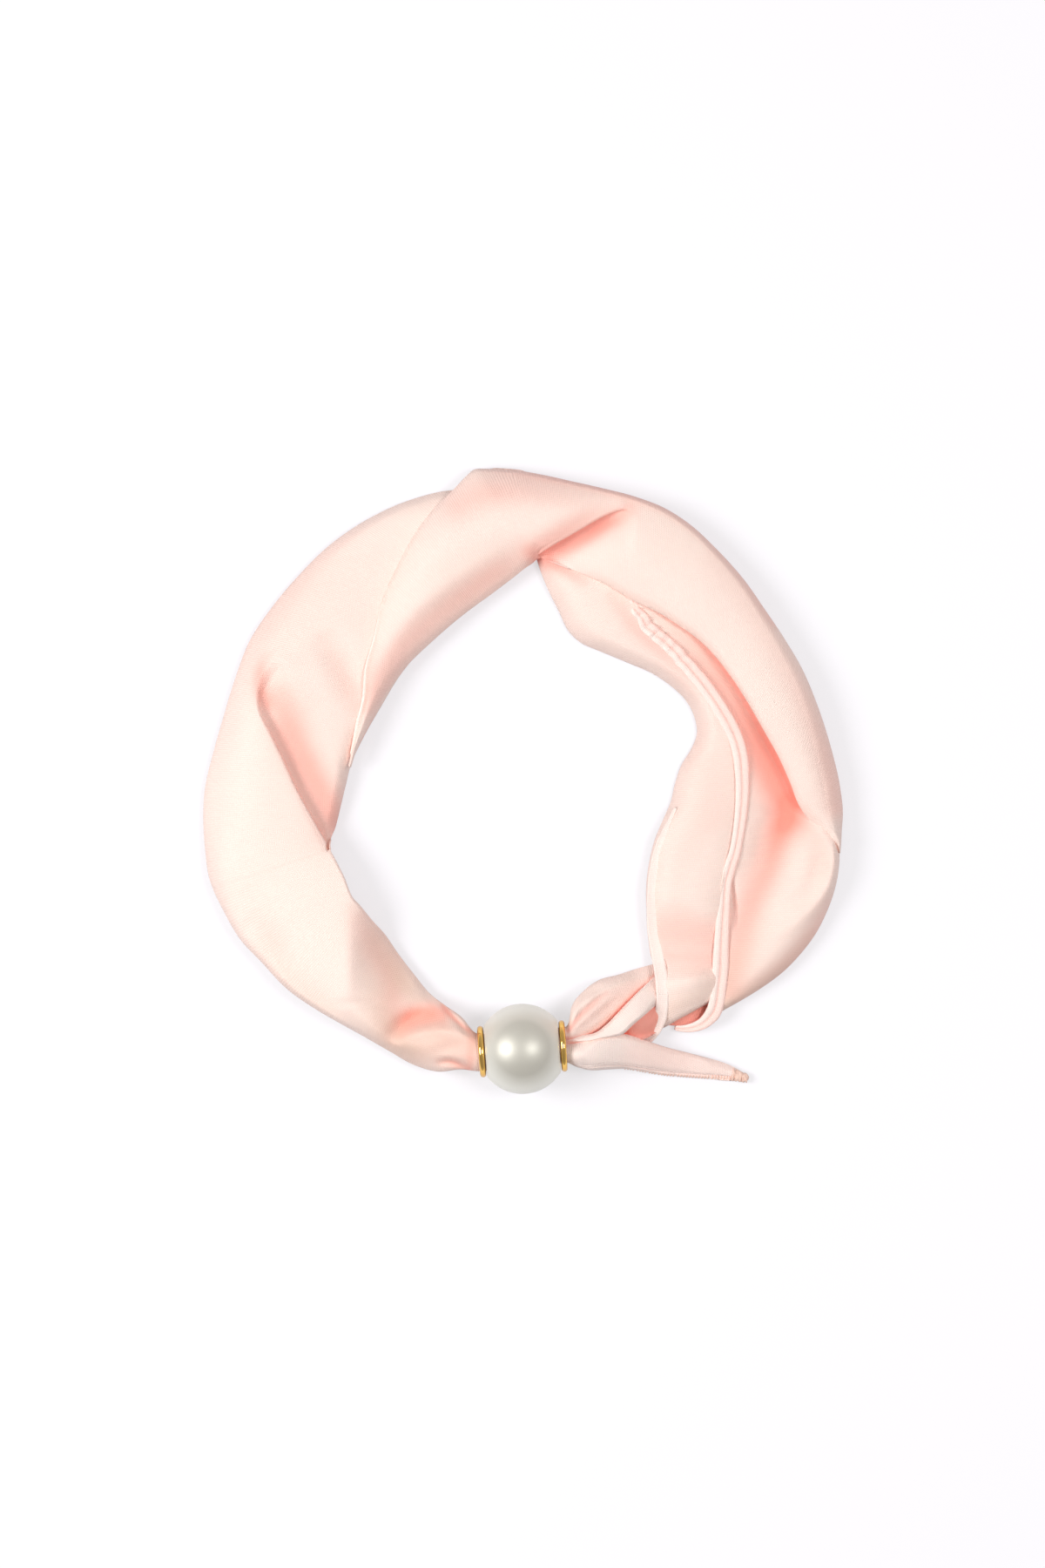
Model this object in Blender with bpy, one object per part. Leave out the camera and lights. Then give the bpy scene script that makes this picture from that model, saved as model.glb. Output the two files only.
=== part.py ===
"""A satin scarf headband, lying as a loop, with both ends drawn into a pearl slide bead.

Metres, +Z up, standing on z = 0. +X is to the wearer's right side of the loop as it lies, +Y away from
the bead. Sizes below are in millimetres and turned to metres when a mesh is made.
"""

from collections import namedtuple
from math import cos, pi, radians, sin, sqrt

import bmesh
import bpy
from mathutils import Vector

MM = 0.001

# Pearl slide
BEAD_DIAMETER = 30.0
BORE_DIAMETER = 13.8  # clear bore of the sleeve and of the two end rings
SLEEVE_WALL = 0.5
RING_WALL = 1.7  # radial
RING_WIDTH = 2.0  # along the bore
SEAT_GAP = 0.3  # between rigid pieces that seat on each other
BEAD_X = -0.2
BEAD_Y = -89.6
BEAD_TURN = 4.0  # degrees, bore axis from +X in plan

# Scarf cloth, heights above the table
CLOTH_GAP = 0.4  # between cloth and whatever it lies against
FOLD_RADIUS = 2.2  # half the thickness of a folded edge
EDGE_ROLL = 7.0  # how far a rolled edge takes to reach its full height
TABLE_FLAT = 0.5  # how much of the rounded underside the table presses flat
PLEAT_STEP = 2.6  # width over which a pleat steps down to the layer under it
LEFT_CROWN = 18.0
TOP_CROWN = 17.5
CUFF_CROWN = 15.5
BASE_CROWN = 11.0
STRIP_CROWN = 8.0
UNDER_TOP = 8.6  # the left wrap where the top wrap lies over it
UNDER_CUFF = 3.6  # the base fold where the cuff lies over it
UNDER_STRIP = 3.8  # the gathered neck where the strip and base fold lie over it
NECK_DEPTH = 4.5  # how far the left neck reaches into the bore
FIXED_DEPTH = 17.0  # how far the fixed end reaches into the bore
THREAD = 0.5  # thickness of the whipping on the fixed end
WHIPPING_WIDTH = 4.0
TAIL_REACH = 61.0  # from the mouth of the bead to the tip of the tail
TACK_LENGTH = 2.4
SWING_GAP = 0.6  # between the throat and the root of the tail, so that the tail can swing

# Mesh densities
BEAD_SIDES = 48
BEAD_ARC = 16
RING_POINTS = 10
OUTER_POINTS = 9  # from the outer edge to the pleat
PLEAT_POINTS = 3  # down the pleat
INNER_POINTS = 6  # from the pleat to the inner edge
UNDER_POINTS = 6
SPAN_STEPS = 2

# Values that follow from the sizes above
BORE = BORE_DIAMETER / 2
RING = BORE + RING_WALL
SLEEVE = BORE + SLEEVE_WALL
BEAD = BEAD_DIAMETER / 2
FACE = sqrt(BEAD**2 - RING**2)  # the bead is faced where it meets the rings' outer edge
MOUTH = FACE + SEAT_GAP + RING_WIDTH
NECK = BORE - CLOTH_GAP
CENTRE = Vector((BEAD_X, BEAD_Y, BEAD))
ALONG = Vector((cos(radians(BEAD_TURN)), sin(radians(BEAD_TURN)), 0))
ACROSS = Vector((-ALONG.y, ALONG.x, 0))
OVER_TOP = UNDER_TOP + CLOTH_GAP
OVER_CUFF = UNDER_CUFF + CLOTH_GAP
OVER_STRIP = UNDER_STRIP + CLOTH_GAP

# The bore is shared by the throat on the side away from the loop and the fixed end on the loop's side
THROAT_HALF = 0.57 * NECK
THROAT_SIDE = THROAT_HALF - NECK + CLOTH_GAP
FIXED_HALF = NECK - THROAT_HALF - CLOTH_GAP
FIXED_SIDE = NECK - FIXED_HALF - CLOTH_GAP / 2
THROAT_RISE = 0.74 * NECK
FIXED_RISE = 0.6 * NECK
WAIST_HALF = FIXED_HALF - THREAD - CLOTH_GAP
WAIST_RISE = FIXED_RISE - THREAD - CLOTH_GAP

Station = namedtuple(
    "Station", "ox oy ix iy base edge crest_at crest shoulder lip turned pleat_at pleat_drop"
)


def station(outer, inner, base, crest, crest_at=0.5, lip=None, edge=None, turned=0.0, pleat=(0.6, 0.0)):
    """One cross-section of folded cloth, from its outer edge to its inner edge.

    lip is the height beside the inner edge, turned is 0 for a flat fold and 1 for a round bundle, and
    pleat is where a pleat steps down, from outer 0 to inner 1, and by how much.
    """
    edge = min(base + FOLD_RADIUS, (base + crest) / 2) if edge is None else edge
    shoulder = base + (crest - base) * (0.55 + 0.45 * turned)
    lip = shoulder if lip is None else max(lip, edge)
    return Station(*outer, *inner, base, edge, crest_at, crest, shoulder, lip, turned, *pleat)


def bundle(along, side, half, rise):
    """A round section square to the bore, at a distance along the bore and to the side of its axis."""
    middle = CENTRE + ALONG * along + ACROSS * side
    outer = middle - ACROSS * half
    inner = middle + ACROSS * half
    return station(
        outer[:2], inner[:2], BEAD - rise, BEAD + rise, edge=BEAD, lip=BEAD + rise, turned=1.0
    )


# Left wrap, from the bead round the left side to where the top wrap covers it
LEFT_WRAP = [
    bundle(NECK_DEPTH - MOUTH, 0, NECK, NECK),
    bundle(-MOUTH - CLOTH_GAP, 0, NECK, NECK),
    station((-20.8, -96.9), (-20.2, -80.4), 4.5, LEFT_CROWN + 3.0, edge=13.0, turned=0.8),
    station((-28.2, -97.7), (-26.2, -75.4), 1.0, LEFT_CROWN + 2.5, edge=8.0, turned=0.5),
    station((-39.5, -95.0), (-33.0, -70.3), 0.0, LEFT_CROWN + 1.0, 0.6, edge=4.5, turned=0.2),
    station((-54.0, -86.0), (-41.5, -59.3), 0.0, LEFT_CROWN, 0.62, 12.0),
    station((-71.0, -76.0), (-49.5, -48.3), 0.0, LEFT_CROWN + 0.5, 0.64, 12.5),
    station((-86.0, -63.0), (-56.3, -39.2), 0.0, LEFT_CROWN, 0.65, 12.5),
    station((-97.0, -49.5), (-60.6, -30.2), 0.0, LEFT_CROWN - 1.0, 0.64, 11.5),
    station((-104.0, -36.0), (-64.2, -22.2), 0.0, LEFT_CROWN - 2.0, 0.6, 11.0, pleat=(0.97, 0.0)),
    station((-107.3, -19.5), (-62.3, -13.5), 0.0, LEFT_CROWN - 3.0, 0.55, 11.0, pleat=(0.83, 6.0)),
    station((-107.2, -5.0), (-60.2, -4.5), 0.0, LEFT_CROWN - 3.5, 0.48, 9.5, pleat=(0.66, 6.0)),
    station((-104.0, 10.5), (-58.0, 5.0), 0.0, LEFT_CROWN - 4.0, 0.4, 8.5, pleat=(0.49, 5.0)),
    station((-99.0, 28.0), (-51.2, 22.5), 0.0, LEFT_CROWN - 5.0, 0.35, 7.0, pleat=(0.24, 3.0)),
    station((-92.3, 43.5), (-42.8, 36.5), 0.0, LEFT_CROWN - 6.0, 0.32, 6.5, pleat=(0.12, 0.0)),
    station((-79.0, 65.0), (-32.6, 48.0), 0.0, LEFT_CROWN - 7.0, 0.3, 6.0),
    station((-61.5, 81.3), (-21.0, 57.0), 0.0, UNDER_TOP + 1.0, 0.22, 5.5),
    station((-41.5, 92.0), (-11.0, 65.0), 0.0, UNDER_TOP, 0.25, 5.0),
    station((-24.5, 96.0), (-4.0, 73.0), 0.0, UNDER_TOP - 2.0, 0.4, 5.0),
]

# Top wrap, from its point on the left wrap, over the top, to the pleat where the cuff begins
TOP_WRAP = [
    station((-58.9, 5.2), (-57.4, 4.0), OVER_TOP, OVER_TOP + 1.4),
    station((-54.6, 19.0), (-52.3, 18.4), OVER_TOP, OVER_TOP + 2.6),
    station((-52.3, 37.0), (-43.6, 33.3), OVER_TOP + 0.4, OVER_TOP + 4.0),
    station((-47.0, 58.0), (-33.0, 44.5), OVER_TOP + 0.6, TOP_CROWN - 2.5),
    station((-37.8, 78.0), (-21.0, 54.5), OVER_TOP + 0.4, TOP_CROWN - 1.0),
    station((-27.2, 93.5), (-10.0, 62.3), OVER_TOP, TOP_CROWN, 0.45, 14.0),
    station((-15.8, 104.2), (0.0, 70.3), UNDER_TOP - 1.6, TOP_CROWN, 0.45, 14.0),
    station((1.0, 104.0), (6.4, 74.0), OVER_CUFF, TOP_CROWN, 0.45, 14.0, pleat=(0.97, 0.0)),
    station((13.0, 101.4), (14.6, 71.4), OVER_CUFF, TOP_CROWN, 0.4, 13.0, pleat=(0.72, 7.0)),
    station((25.0, 98.6), (27.2, 65.6), OVER_CUFF, TOP_CROWN - 0.5, 0.35, 11.5, pleat=(0.34, 5.0)),
    station((36.0, 95.4), (38.6, 59.4), OVER_CUFF, CUFF_CROWN + 0.5, 0.38, 11.0, pleat=(0.14, 0.0)),
]

# Right cuff, the same cloth carried on round the right side, ending in a point at the outer edge
CUFF_START = (36.4, 95.3), (39.0, 59.1)
RIGHT_CUFF = [
    station(*CUFF_START, OVER_CUFF, CUFF_CROWN + 0.5, 0.4, 11.0),
    station((50.0, 90.0), (50.0, 53.0), OVER_CUFF, CUFF_CROWN, 0.45, 10.5),
    station((63.0, 79.3), (58.6, 46.6), OVER_CUFF, CUFF_CROWN, 0.45, 10.5),
    station((76.0, 64.8), (67.6, 36.6), OVER_CUFF, CUFF_CROWN, 0.45, 10.5),
    station((87.0, 48.5), (75.0, 25.0), OVER_CUFF, CUFF_CROWN, 0.45, 10.5),
    station((95.8, 32.5), (81.0, 15.0), OVER_CUFF, CUFF_CROWN - 0.5, 0.45, 10.5),
    station((102.3, 13.0), (86.8, 4.0), OVER_CUFF, CUFF_CROWN - 1.5, 0.45, 10.0),
    station((106.4, -4.0), (91.8, -7.6), OVER_CUFF, CUFF_CROWN - 3.0, 0.45, 9.0),
    station((107.6, -14.5), (98.2, -15.0), OVER_CUFF, CUFF_CROWN - 5.5, 0.45, 8.0),
    station((106.8, -22.5), (104.2, -21.5), OVER_CUFF, CUFF_CROWN - 8.5),
]

# Base fold, the layer below the cuff, which comes out from under it as the lower right side
BASE_FOLD = [
    station((52.0, 60.0), (44.0, 54.6), 0.0, UNDER_CUFF),
    station((66.0, 56.0), (51.0, 44.2), 0.0, UNDER_CUFF),
    station((82.0, 40.0), (61.2, 29.2), 0.0, UNDER_CUFF),
    station((93.0, 20.0), (69.6, 14.8), 0.0, UNDER_CUFF),
    station((101.0, 0.0), (73.2, 1.8), 0.0, UNDER_CUFF),
    station((104.4, -15.5), (73.6, -10.6), 0.0, UNDER_CUFF, 0.3),
    station((105.6, -25.0), (72.0, -21.5), 0.0, UNDER_CUFF, 0.3),
    station((105.8, -32.5), (69.6, -30.2), 0.0, BASE_CROWN - 5.0, 0.3, 5.0),
    station((103.4, -40.8), (67.4, -39.8), 0.0, BASE_CROWN - 0.5, 0.4, 6.0),
    station((97.0, -53.0), (65.8, -53.2), 0.0, BASE_CROWN, 0.45, 6.5),
    station((86.0, -64.8), (65.2, -63.5), 0.0, BASE_CROWN - 0.5, 0.5, 7.0),
    station((75.0, -72.8), (64.9, -71.6), OVER_STRIP - 2.4, BASE_CROWN - 2.0, 0.5, 7.0),
    station((67.2, -78.4), (63.8, -77.6), OVER_STRIP, BASE_CROWN - 4.0),
]

# Inner strip, from under the top wrap down the inside of the right half; outer here is the loop's opening
INNER_STRIP = [
    station((5.4, 71.6), (8.6, 73.0), 0.0, UNDER_CUFF),
    station((8.4, 64.6), (20.0, 70.6), 0.0, UNDER_CUFF + 1.0, 0.3, UNDER_CUFF),
    station((12.6, 55.8), (31.0, 64.8), 0.0, STRIP_CROWN - 1.0, 0.3, UNDER_CUFF),
    station((18.8, 47.0), (42.6, 55.0), 0.0, STRIP_CROWN, 0.4, 4.5),
    station((30.0, 42.0), (49.2, 45.4), 0.0, STRIP_CROWN - 0.5, 0.5, 5.0),
    station((42.4, 36.6), (56.0, 35.2), 0.0, STRIP_CROWN - 0.5, 0.5, 5.0),
    station((52.0, 29.6), (62.6, 25.8), 0.0, STRIP_CROWN - 0.5, 0.5, 5.0),
    station((57.6, 21.4), (67.2, 17.6), 0.0, STRIP_CROWN - 0.5, 0.5, 5.0),
    station((57.9, 13.4), (70.6, 9.2), 0.0, STRIP_CROWN - 0.5, 0.5, 5.0),
    station((53.2, 4.6), (72.4, 0.6), 0.0, STRIP_CROWN - 0.5, 0.5, 5.0),
    station((49.0, -9.6), (73.0, -10.8), 0.0, STRIP_CROWN, 0.5, 5.0),
    station((44.0, -21.5), (71.2, -22.8), 0.0, STRIP_CROWN + 0.5, 0.5, 5.5),
    station((42.0, -36.5), (67.3, -37.6), 0.0, STRIP_CROWN + 1.5, 0.5, 6.0),
    station((41.8, -50.0), (65.4, -51.0), 0.0, STRIP_CROWN + 0.5, 0.5, 6.5),
    station((43.2, -60.0), (64.7, -61.0), OVER_STRIP, STRIP_CROWN, 0.5, 7.0),
    station((44.6, -72.0), (64.0, -71.4), OVER_STRIP, STRIP_CROWN - 0.5, 0.5, 7.0),
    station((44.2, -82.0), (62.0, -78.6), OVER_STRIP, STRIP_CROWN - 1.0, 0.5, 6.0),
]

# Gathered right neck, from the fixed end in the bore out to where it spreads below the strip
GATHER = [
    bundle(MOUTH - FIXED_DEPTH, FIXED_SIDE, FIXED_HALF, FIXED_RISE),
    bundle(MOUTH - FIXED_DEPTH + 2.0, FIXED_SIDE, WAIST_HALF, WAIST_RISE),
    bundle(MOUTH - FIXED_DEPTH + 4.0 + WHIPPING_WIDTH, FIXED_SIDE, WAIST_HALF, WAIST_RISE),
    bundle(MOUTH - 1.0, FIXED_SIDE, FIXED_HALF, FIXED_RISE),
    bundle(MOUTH + 1.0, FIXED_SIDE + 0.5, FIXED_HALF, FIXED_RISE + 0.5),
    station((19.8, -84.8), (18.0, -74.6), 7.5, 20.0, edge=14.0, turned=0.8),
    station((25.6, -84.4), (23.4, -69.2), 3.5, 17.0, 0.6, edge=9.0, turned=0.5, pleat=(0.3, 3.0)),
    station((33.0, -84.2), (31.0, -65.8), 0.0, 12.0, 0.6, edge=5.0, turned=0.2, pleat=(0.35, 3.0)),
    station((40.0, -84.2), (39.6, -63.8), 0.0, UNDER_STRIP + 1.2, 0.6, pleat=(0.4, 0.0)),
    station((46.5, -83.2), (47.0, -63.0), 0.0, UNDER_STRIP, 0.5),
    station((54.0, -80.8), (55.0, -65.5), 0.0, UNDER_STRIP, 0.5),
    station((61.0, -77.4), (62.0, -70.0), 0.0, UNDER_STRIP, 0.5),
]

# Throat, the free end's narrow stretch inside the bore
THROAT = [
    bundle(NECK_DEPTH - MOUTH + CLOTH_GAP, THROAT_SIDE, THROAT_HALF - 0.6, THROAT_RISE - 0.6),
    bundle(NECK_DEPTH - MOUTH + 2.0, THROAT_SIDE, THROAT_HALF, THROAT_RISE),
    bundle(MOUTH - 3.0, THROAT_SIDE, THROAT_HALF, THROAT_RISE),
    bundle(MOUTH - 0.5, THROAT_SIDE, THROAT_HALF - 1.2, THROAT_RISE - 1.2),
    bundle(MOUTH, THROAT_SIDE, THROAT_HALF - 2.2, THROAT_RISE - 2.6),
]
PIVOT = CENTRE + ALONG * (MOUTH + SWING_GAP) + ACROSS * THROAT_SIDE


def tail_station(reach, outer, inner, base, crest, **rest):
    """A section of the tail: reach from the pivot along +X, and its edges to either side of the pivot."""
    x = PIVOT.x + reach
    return station((x, PIVOT.y + outer), (x, PIVOT.y + inner), base, crest, **rest)


# Tail, from the mouth of the bead to its stitched tip on the table
TAIL_TIP = TAIL_REACH - TACK_LENGTH - CLOTH_GAP
TAIL = [
    bundle(MOUTH + SWING_GAP, THROAT_SIDE, THROAT_HALF - 2.2, THROAT_RISE - 2.6),
    tail_station(2.0, -3.0, 2.8, 11.0, 18.4, edge=14.8, turned=0.8),
    tail_station(5.5, -4.9, 4.3, 8.8, 16.8, edge=12.6, turned=0.5),
    tail_station(11.0, -6.0, 5.2, 6.2, 14.2, edge=9.6, turned=0.3),
    tail_station(18.0, -5.7, 6.0, 4.4, 12.0, edge=7.4, turned=0.1),
    tail_station(25.0, -6.2, 4.4, 2.6, 9.6, edge=5.4),
    tail_station(34.0, -7.6, 1.6, 0.6, 7.0),
    tail_station(44.0, -8.5, -1.6, 0.0, 5.0),
    tail_station(0.91 * TAIL_TIP, -9.2, -4.9, 0.0, 3.6),
    tail_station(TAIL_TIP, -9.8, -7.4, 0.0, 2.6),
]


def smooth_rows(rows):
    """Stations along a Catmull-Rom curve through the given ones."""
    dense = []
    for i in range(len(rows) - 1):
        before, start, end, after = (rows[max(0, min(len(rows) - 1, i + k))] for k in (-1, 0, 1, 2))
        for step in range(SPAN_STEPS):
            t = step / SPAN_STEPS
            weights = (
                (-t + 2 * t**2 - t**3) / 2,
                (2 - 5 * t**2 + 3 * t**3) / 2,
                (t + 4 * t**2 - 3 * t**3) / 2,
                (t**3 - t**2) / 2,
            )
            columns = zip(before, start, end, after)
            dense.append(Station(*(sum(w * v for w, v in zip(weights, column)) for column in columns)))
    dense.append(rows[-1])
    return dense


def rounding(share, roll):
    """0 at either edge, 1 further in than the roll, along a quarter ellipse."""
    near = min(share, 1 - share) / roll
    return 1.0 if near >= 1 else sqrt(max(0.0, 1 - (1 - near) ** 2))


def over_shares(row, width):
    """Places from outer 0 to inner 1 over the top, close together at both edges and down the pleat."""
    step = min(PLEAT_STEP / width, (1 - row.pleat_at) / 2)
    foot = row.pleat_at + step
    shares = [row.pleat_at * (1 - cos(pi / 2 * i / OUTER_POINTS)) for i in range(OUTER_POINTS)]
    shares += [row.pleat_at + step * i / PLEAT_POINTS for i in range(PLEAT_POINTS)]
    shares += [foot + (1 - foot) * sin(pi / 2 * i / INNER_POINTS) for i in range(INNER_POINTS + 1)]
    return shares, step


def upper_height(row, share, roll, step):
    if share < row.crest_at:
        height = row.crest - (row.crest - row.shoulder) * (1 - share / row.crest_at) ** 2
    else:
        height = row.crest - (row.crest - row.lip) * ((share - row.crest_at) / (1 - row.crest_at)) ** 2
    past = min(1.0, max(0.0, (share - row.pleat_at) / step))
    height -= row.pleat_drop * past**2 * (3 - 2 * past)
    return row.edge + (max(height, row.edge) - row.edge) * rounding(share, roll)


def lower_height(row, share, roll):
    return max(row.base, 0.0, row.edge - (row.edge - row.base + TABLE_FLAT) * rounding(share, roll))


def section_points(row):
    """The closed outline of one station, over the top from outer to inner and back underneath."""
    outer = Vector((row.ox, row.oy, 0))
    inner = Vector((row.ix, row.iy, 0))
    width = (inner - outer).length
    over_roll = min(0.5, EDGE_ROLL / width) * (1 - row.turned) + 0.5 * row.turned
    under_roll = min(0.5, FOLD_RADIUS / width) * (1 - row.turned) + 0.5 * row.turned
    points = []
    shares, step = over_shares(row, width)
    for share in shares:
        height = upper_height(row, share, over_roll, step)
        points.append(outer.lerp(inner, share) + Vector((0, 0, height)))
    for i in range(1, UNDER_POINTS):
        share = (1 + cos(pi * i / UNDER_POINTS)) / 2
        points.append(outer.lerp(inner, share) + Vector((0, 0, lower_height(row, share, under_roll))))
    return points


def principled(name, colour, roughness, metallic=0.0):
    material = bpy.data.materials.new(name)
    material.use_nodes = True
    shader = material.node_tree.nodes["Principled BSDF"]
    shader.inputs["Base Color"].default_value = (*colour, 1.0)
    shader.inputs["Roughness"].default_value = roughness
    shader.inputs["Metallic"].default_value = metallic
    return material


def finish_object(name, mesh, material, parent=None):
    """An object whose mesh is given in world millimetres, moved to its parent's place."""
    bmesh.ops.remove_doubles(mesh, verts=mesh.verts, dist=1e-4)
    bmesh.ops.recalc_face_normals(mesh, faces=mesh.faces)
    bmesh.ops.scale(mesh, vec=(MM, MM, MM), verts=mesh.verts)
    data = bpy.data.meshes.new(name)
    mesh.to_mesh(data)
    mesh.free()
    data.shade_smooth()
    data.set_sharp_from_angle(angle=radians(50))
    data.materials.append(material)
    made = bpy.data.objects.new(name, data)
    bpy.context.scene.collection.objects.link(made)
    if parent:
        data.transform(parent.matrix_world.inverted())
        made.parent = parent
    return made


def axis_empty(name, place, parent=None):
    """An empty on a joint's axis, its X along the bore."""
    empty = bpy.data.objects.new(name, None)
    bpy.context.scene.collection.objects.link(empty)
    empty.empty_display_size = 0.01
    empty.parent = parent
    offset = place * MM
    turn = radians(BEAD_TURN)
    if parent:
        offset = parent.matrix_world.inverted() @ offset
        turn = 0.0
    empty.location = offset
    empty.rotation_euler.z = turn
    bpy.context.view_layer.update()
    return empty


def cloth(name, rows, material, parent=None):
    """A closed solid lofted through smoothed stations, capped at both ends."""
    mesh = bmesh.new()
    loops = []
    for row in smooth_rows(rows):
        loops.append([mesh.verts.new(point) for point in section_points(row)])
    for first, second in zip(loops, loops[1:]):
        for i in range(len(first)):
            mesh.faces.new((first[i - 1], first[i], second[i], second[i - 1]))
    mesh.faces.new(loops[0])
    mesh.faces.new(loops[-1])
    bmesh.ops.triangulate(mesh, faces=mesh.faces)
    return finish_object(name, mesh, material, parent)


def turned_piece(name, profile, material, parent):
    """A ring turned about the bore from a closed profile of (along, radius) points."""
    mesh = bmesh.new()
    corners = [mesh.verts.new((along, 0, radius)) for along, radius in profile]
    edges = [mesh.edges.new((corners[i - 1], corners[i])) for i in range(len(corners))]
    bmesh.ops.spin(
        mesh,
        geom=corners + edges,
        cent=(0, 0, 0),
        axis=(1, 0, 0),
        angle=2 * pi,
        steps=BEAD_SIDES,
        use_merge=True,
    )
    bmesh.ops.rotate(
        mesh, cent=(0, 0, 0), matrix=parent.matrix_world.to_3x3(), verts=mesh.verts
    )
    bmesh.ops.translate(mesh, vec=CENTRE, verts=mesh.verts)
    return finish_object(name, mesh, material, parent)


def pearl_profile():
    tilt = [pi / 2 * (2 * i / BEAD_ARC - 1) for i in range(BEAD_ARC + 1)]
    reach = FACE / BEAD
    arc = [(BEAD * sin(a) * reach, 0) for a in tilt]
    arc = [(along, sqrt(BEAD**2 - along**2)) for along, _ in arc]
    return arc + [(FACE, SLEEVE + SEAT_GAP), (-FACE, SLEEVE + SEAT_GAP)]


def sleeve_profile():
    return [(-FACE, BORE), (-FACE, SLEEVE), (FACE, SLEEVE), (FACE, BORE)]


def ring_profile(side):
    middle = side * (FACE + SEAT_GAP + RING_WIDTH / 2)
    points = []
    for i in range(RING_POINTS):
        angle = 2 * pi * i / RING_POINTS
        points.append(
            (middle + RING_WIDTH / 2 * cos(angle), BORE + RING_WALL / 2 * (1 + sin(angle)))
        )
    return points


def whipping(name, material):
    """The band of thread round the fixed end, an oval tube square to the bore."""
    start = MOUTH - FIXED_DEPTH + 3.0
    mesh = bmesh.new()
    loops = []
    for along, grow in (
        (start, CLOTH_GAP),
        (start, CLOTH_GAP + THREAD),
        (start + WHIPPING_WIDTH, CLOTH_GAP + THREAD),
        (start + WHIPPING_WIDTH, CLOTH_GAP),
    ):
        loop = []
        for i in range(BEAD_SIDES // 2):
            angle = 4 * pi * i / BEAD_SIDES
            side = ACROSS * (FIXED_SIDE + (WAIST_HALF + grow) * cos(angle))
            rise = Vector((0, 0, (WAIST_RISE + grow) * sin(angle)))
            loop.append(mesh.verts.new(CENTRE + ALONG * along + side + rise))
        loops.append(loop)
    for k in range(len(loops)):
        first, second = loops[k - 1], loops[k]
        for i in range(len(first)):
            mesh.faces.new((first[i - 1], first[i], second[i], second[i - 1]))
    return finish_object(name, mesh, material)


def tip_tack(name, material, parent):
    """The bar of stitches across the tip of the tail, a rounded block on the table."""
    tip = TAIL[-1]
    length, width, height = TACK_LENGTH, tip.iy - tip.oy, tip.crest
    mesh = bmesh.new()
    bmesh.ops.create_cube(mesh, size=1.0)
    bmesh.ops.scale(mesh, vec=(length, width, height), verts=mesh.verts)
    bmesh.ops.bevel(
        mesh,
        geom=mesh.edges,
        affect="EDGES",
        offset=min(length, width, height) / 4,
        segments=2,
        profile=0.5,
        material=-1,
    )
    middle = Vector((tip.ox + CLOTH_GAP + length / 2, (tip.oy + tip.iy) / 2, height / 2))
    bmesh.ops.translate(mesh, vec=middle, verts=mesh.verts)
    return finish_object(name, mesh, material, parent)


def build():
    for old in list(bpy.data.objects):
        bpy.data.objects.remove(old)

    satin = principled("blush_satin", (0.90, 0.58, 0.49), 0.38)
    pearl = principled("pearl_coat", (0.74, 0.70, 0.62), 0.12)
    gold = principled("gold_plate", (0.80, 0.56, 0.30), 0.2, 1.0)
    thread = principled("blush_thread", (0.86, 0.52, 0.43), 0.7)

    cloth("left_wrap", LEFT_WRAP, satin)
    cloth("top_wrap", TOP_WRAP, satin)
    cloth("right_cuff", RIGHT_CUFF, satin)
    cloth("base_fold", BASE_FOLD, satin)
    cloth("inner_strip", INNER_STRIP, satin)
    cloth("gathered_neck", GATHER, satin)
    whipping("end_whipping", thread)

    bore = axis_empty("bore_axis", CENTRE)
    turned_piece("pearl_shell", pearl_profile(), pearl, bore)
    turned_piece("bore_sleeve", sleeve_profile(), gold, bore)
    turned_piece("left_end_ring", ring_profile(-1), gold, bore)
    turned_piece("right_end_ring", ring_profile(1), gold, bore)

    pull = axis_empty("pull_axis", CENTRE)
    cloth("free_throat", THROAT, satin, pull)
    swing = axis_empty("swing_axis", PIVOT, pull)
    cloth("tail", TAIL, satin, swing)
    tip_tack("tail_tip_tack", thread, swing)


build()
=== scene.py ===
from math import cos, pi, radians, sin, sqrt

import bmesh
import bpy
import numpy as np
from mathutils import Matrix, Vector


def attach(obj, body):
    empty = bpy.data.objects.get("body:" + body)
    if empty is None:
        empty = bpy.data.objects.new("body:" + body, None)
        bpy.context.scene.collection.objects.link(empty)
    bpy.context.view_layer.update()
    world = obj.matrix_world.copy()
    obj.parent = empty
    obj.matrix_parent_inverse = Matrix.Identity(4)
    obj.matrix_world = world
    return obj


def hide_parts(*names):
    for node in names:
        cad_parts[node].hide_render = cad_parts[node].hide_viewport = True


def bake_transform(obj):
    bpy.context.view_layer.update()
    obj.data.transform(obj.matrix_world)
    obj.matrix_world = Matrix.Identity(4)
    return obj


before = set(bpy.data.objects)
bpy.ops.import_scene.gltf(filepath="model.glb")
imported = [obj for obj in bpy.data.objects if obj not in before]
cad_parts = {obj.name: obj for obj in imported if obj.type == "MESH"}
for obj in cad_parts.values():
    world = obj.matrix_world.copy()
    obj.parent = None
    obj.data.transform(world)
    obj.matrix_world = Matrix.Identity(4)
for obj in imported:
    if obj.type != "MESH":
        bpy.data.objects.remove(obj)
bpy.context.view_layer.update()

mm = 0.001
print("frame loaded, nodes:", len(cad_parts))

# Stage: a white table seen from straight above, a soft box on the left and a smaller one near overhead

shot = {
    "centre": (-0.15, -1.35),  # mm, the table point in the middle of the picture
    "tall": 524.3,            # mm of table from top to bottom of the picture
    "height": 1200.0,         # mm, lens above the middle of the cloth
    "middle": 11.0,           # mm, that middle above the table
}

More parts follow.
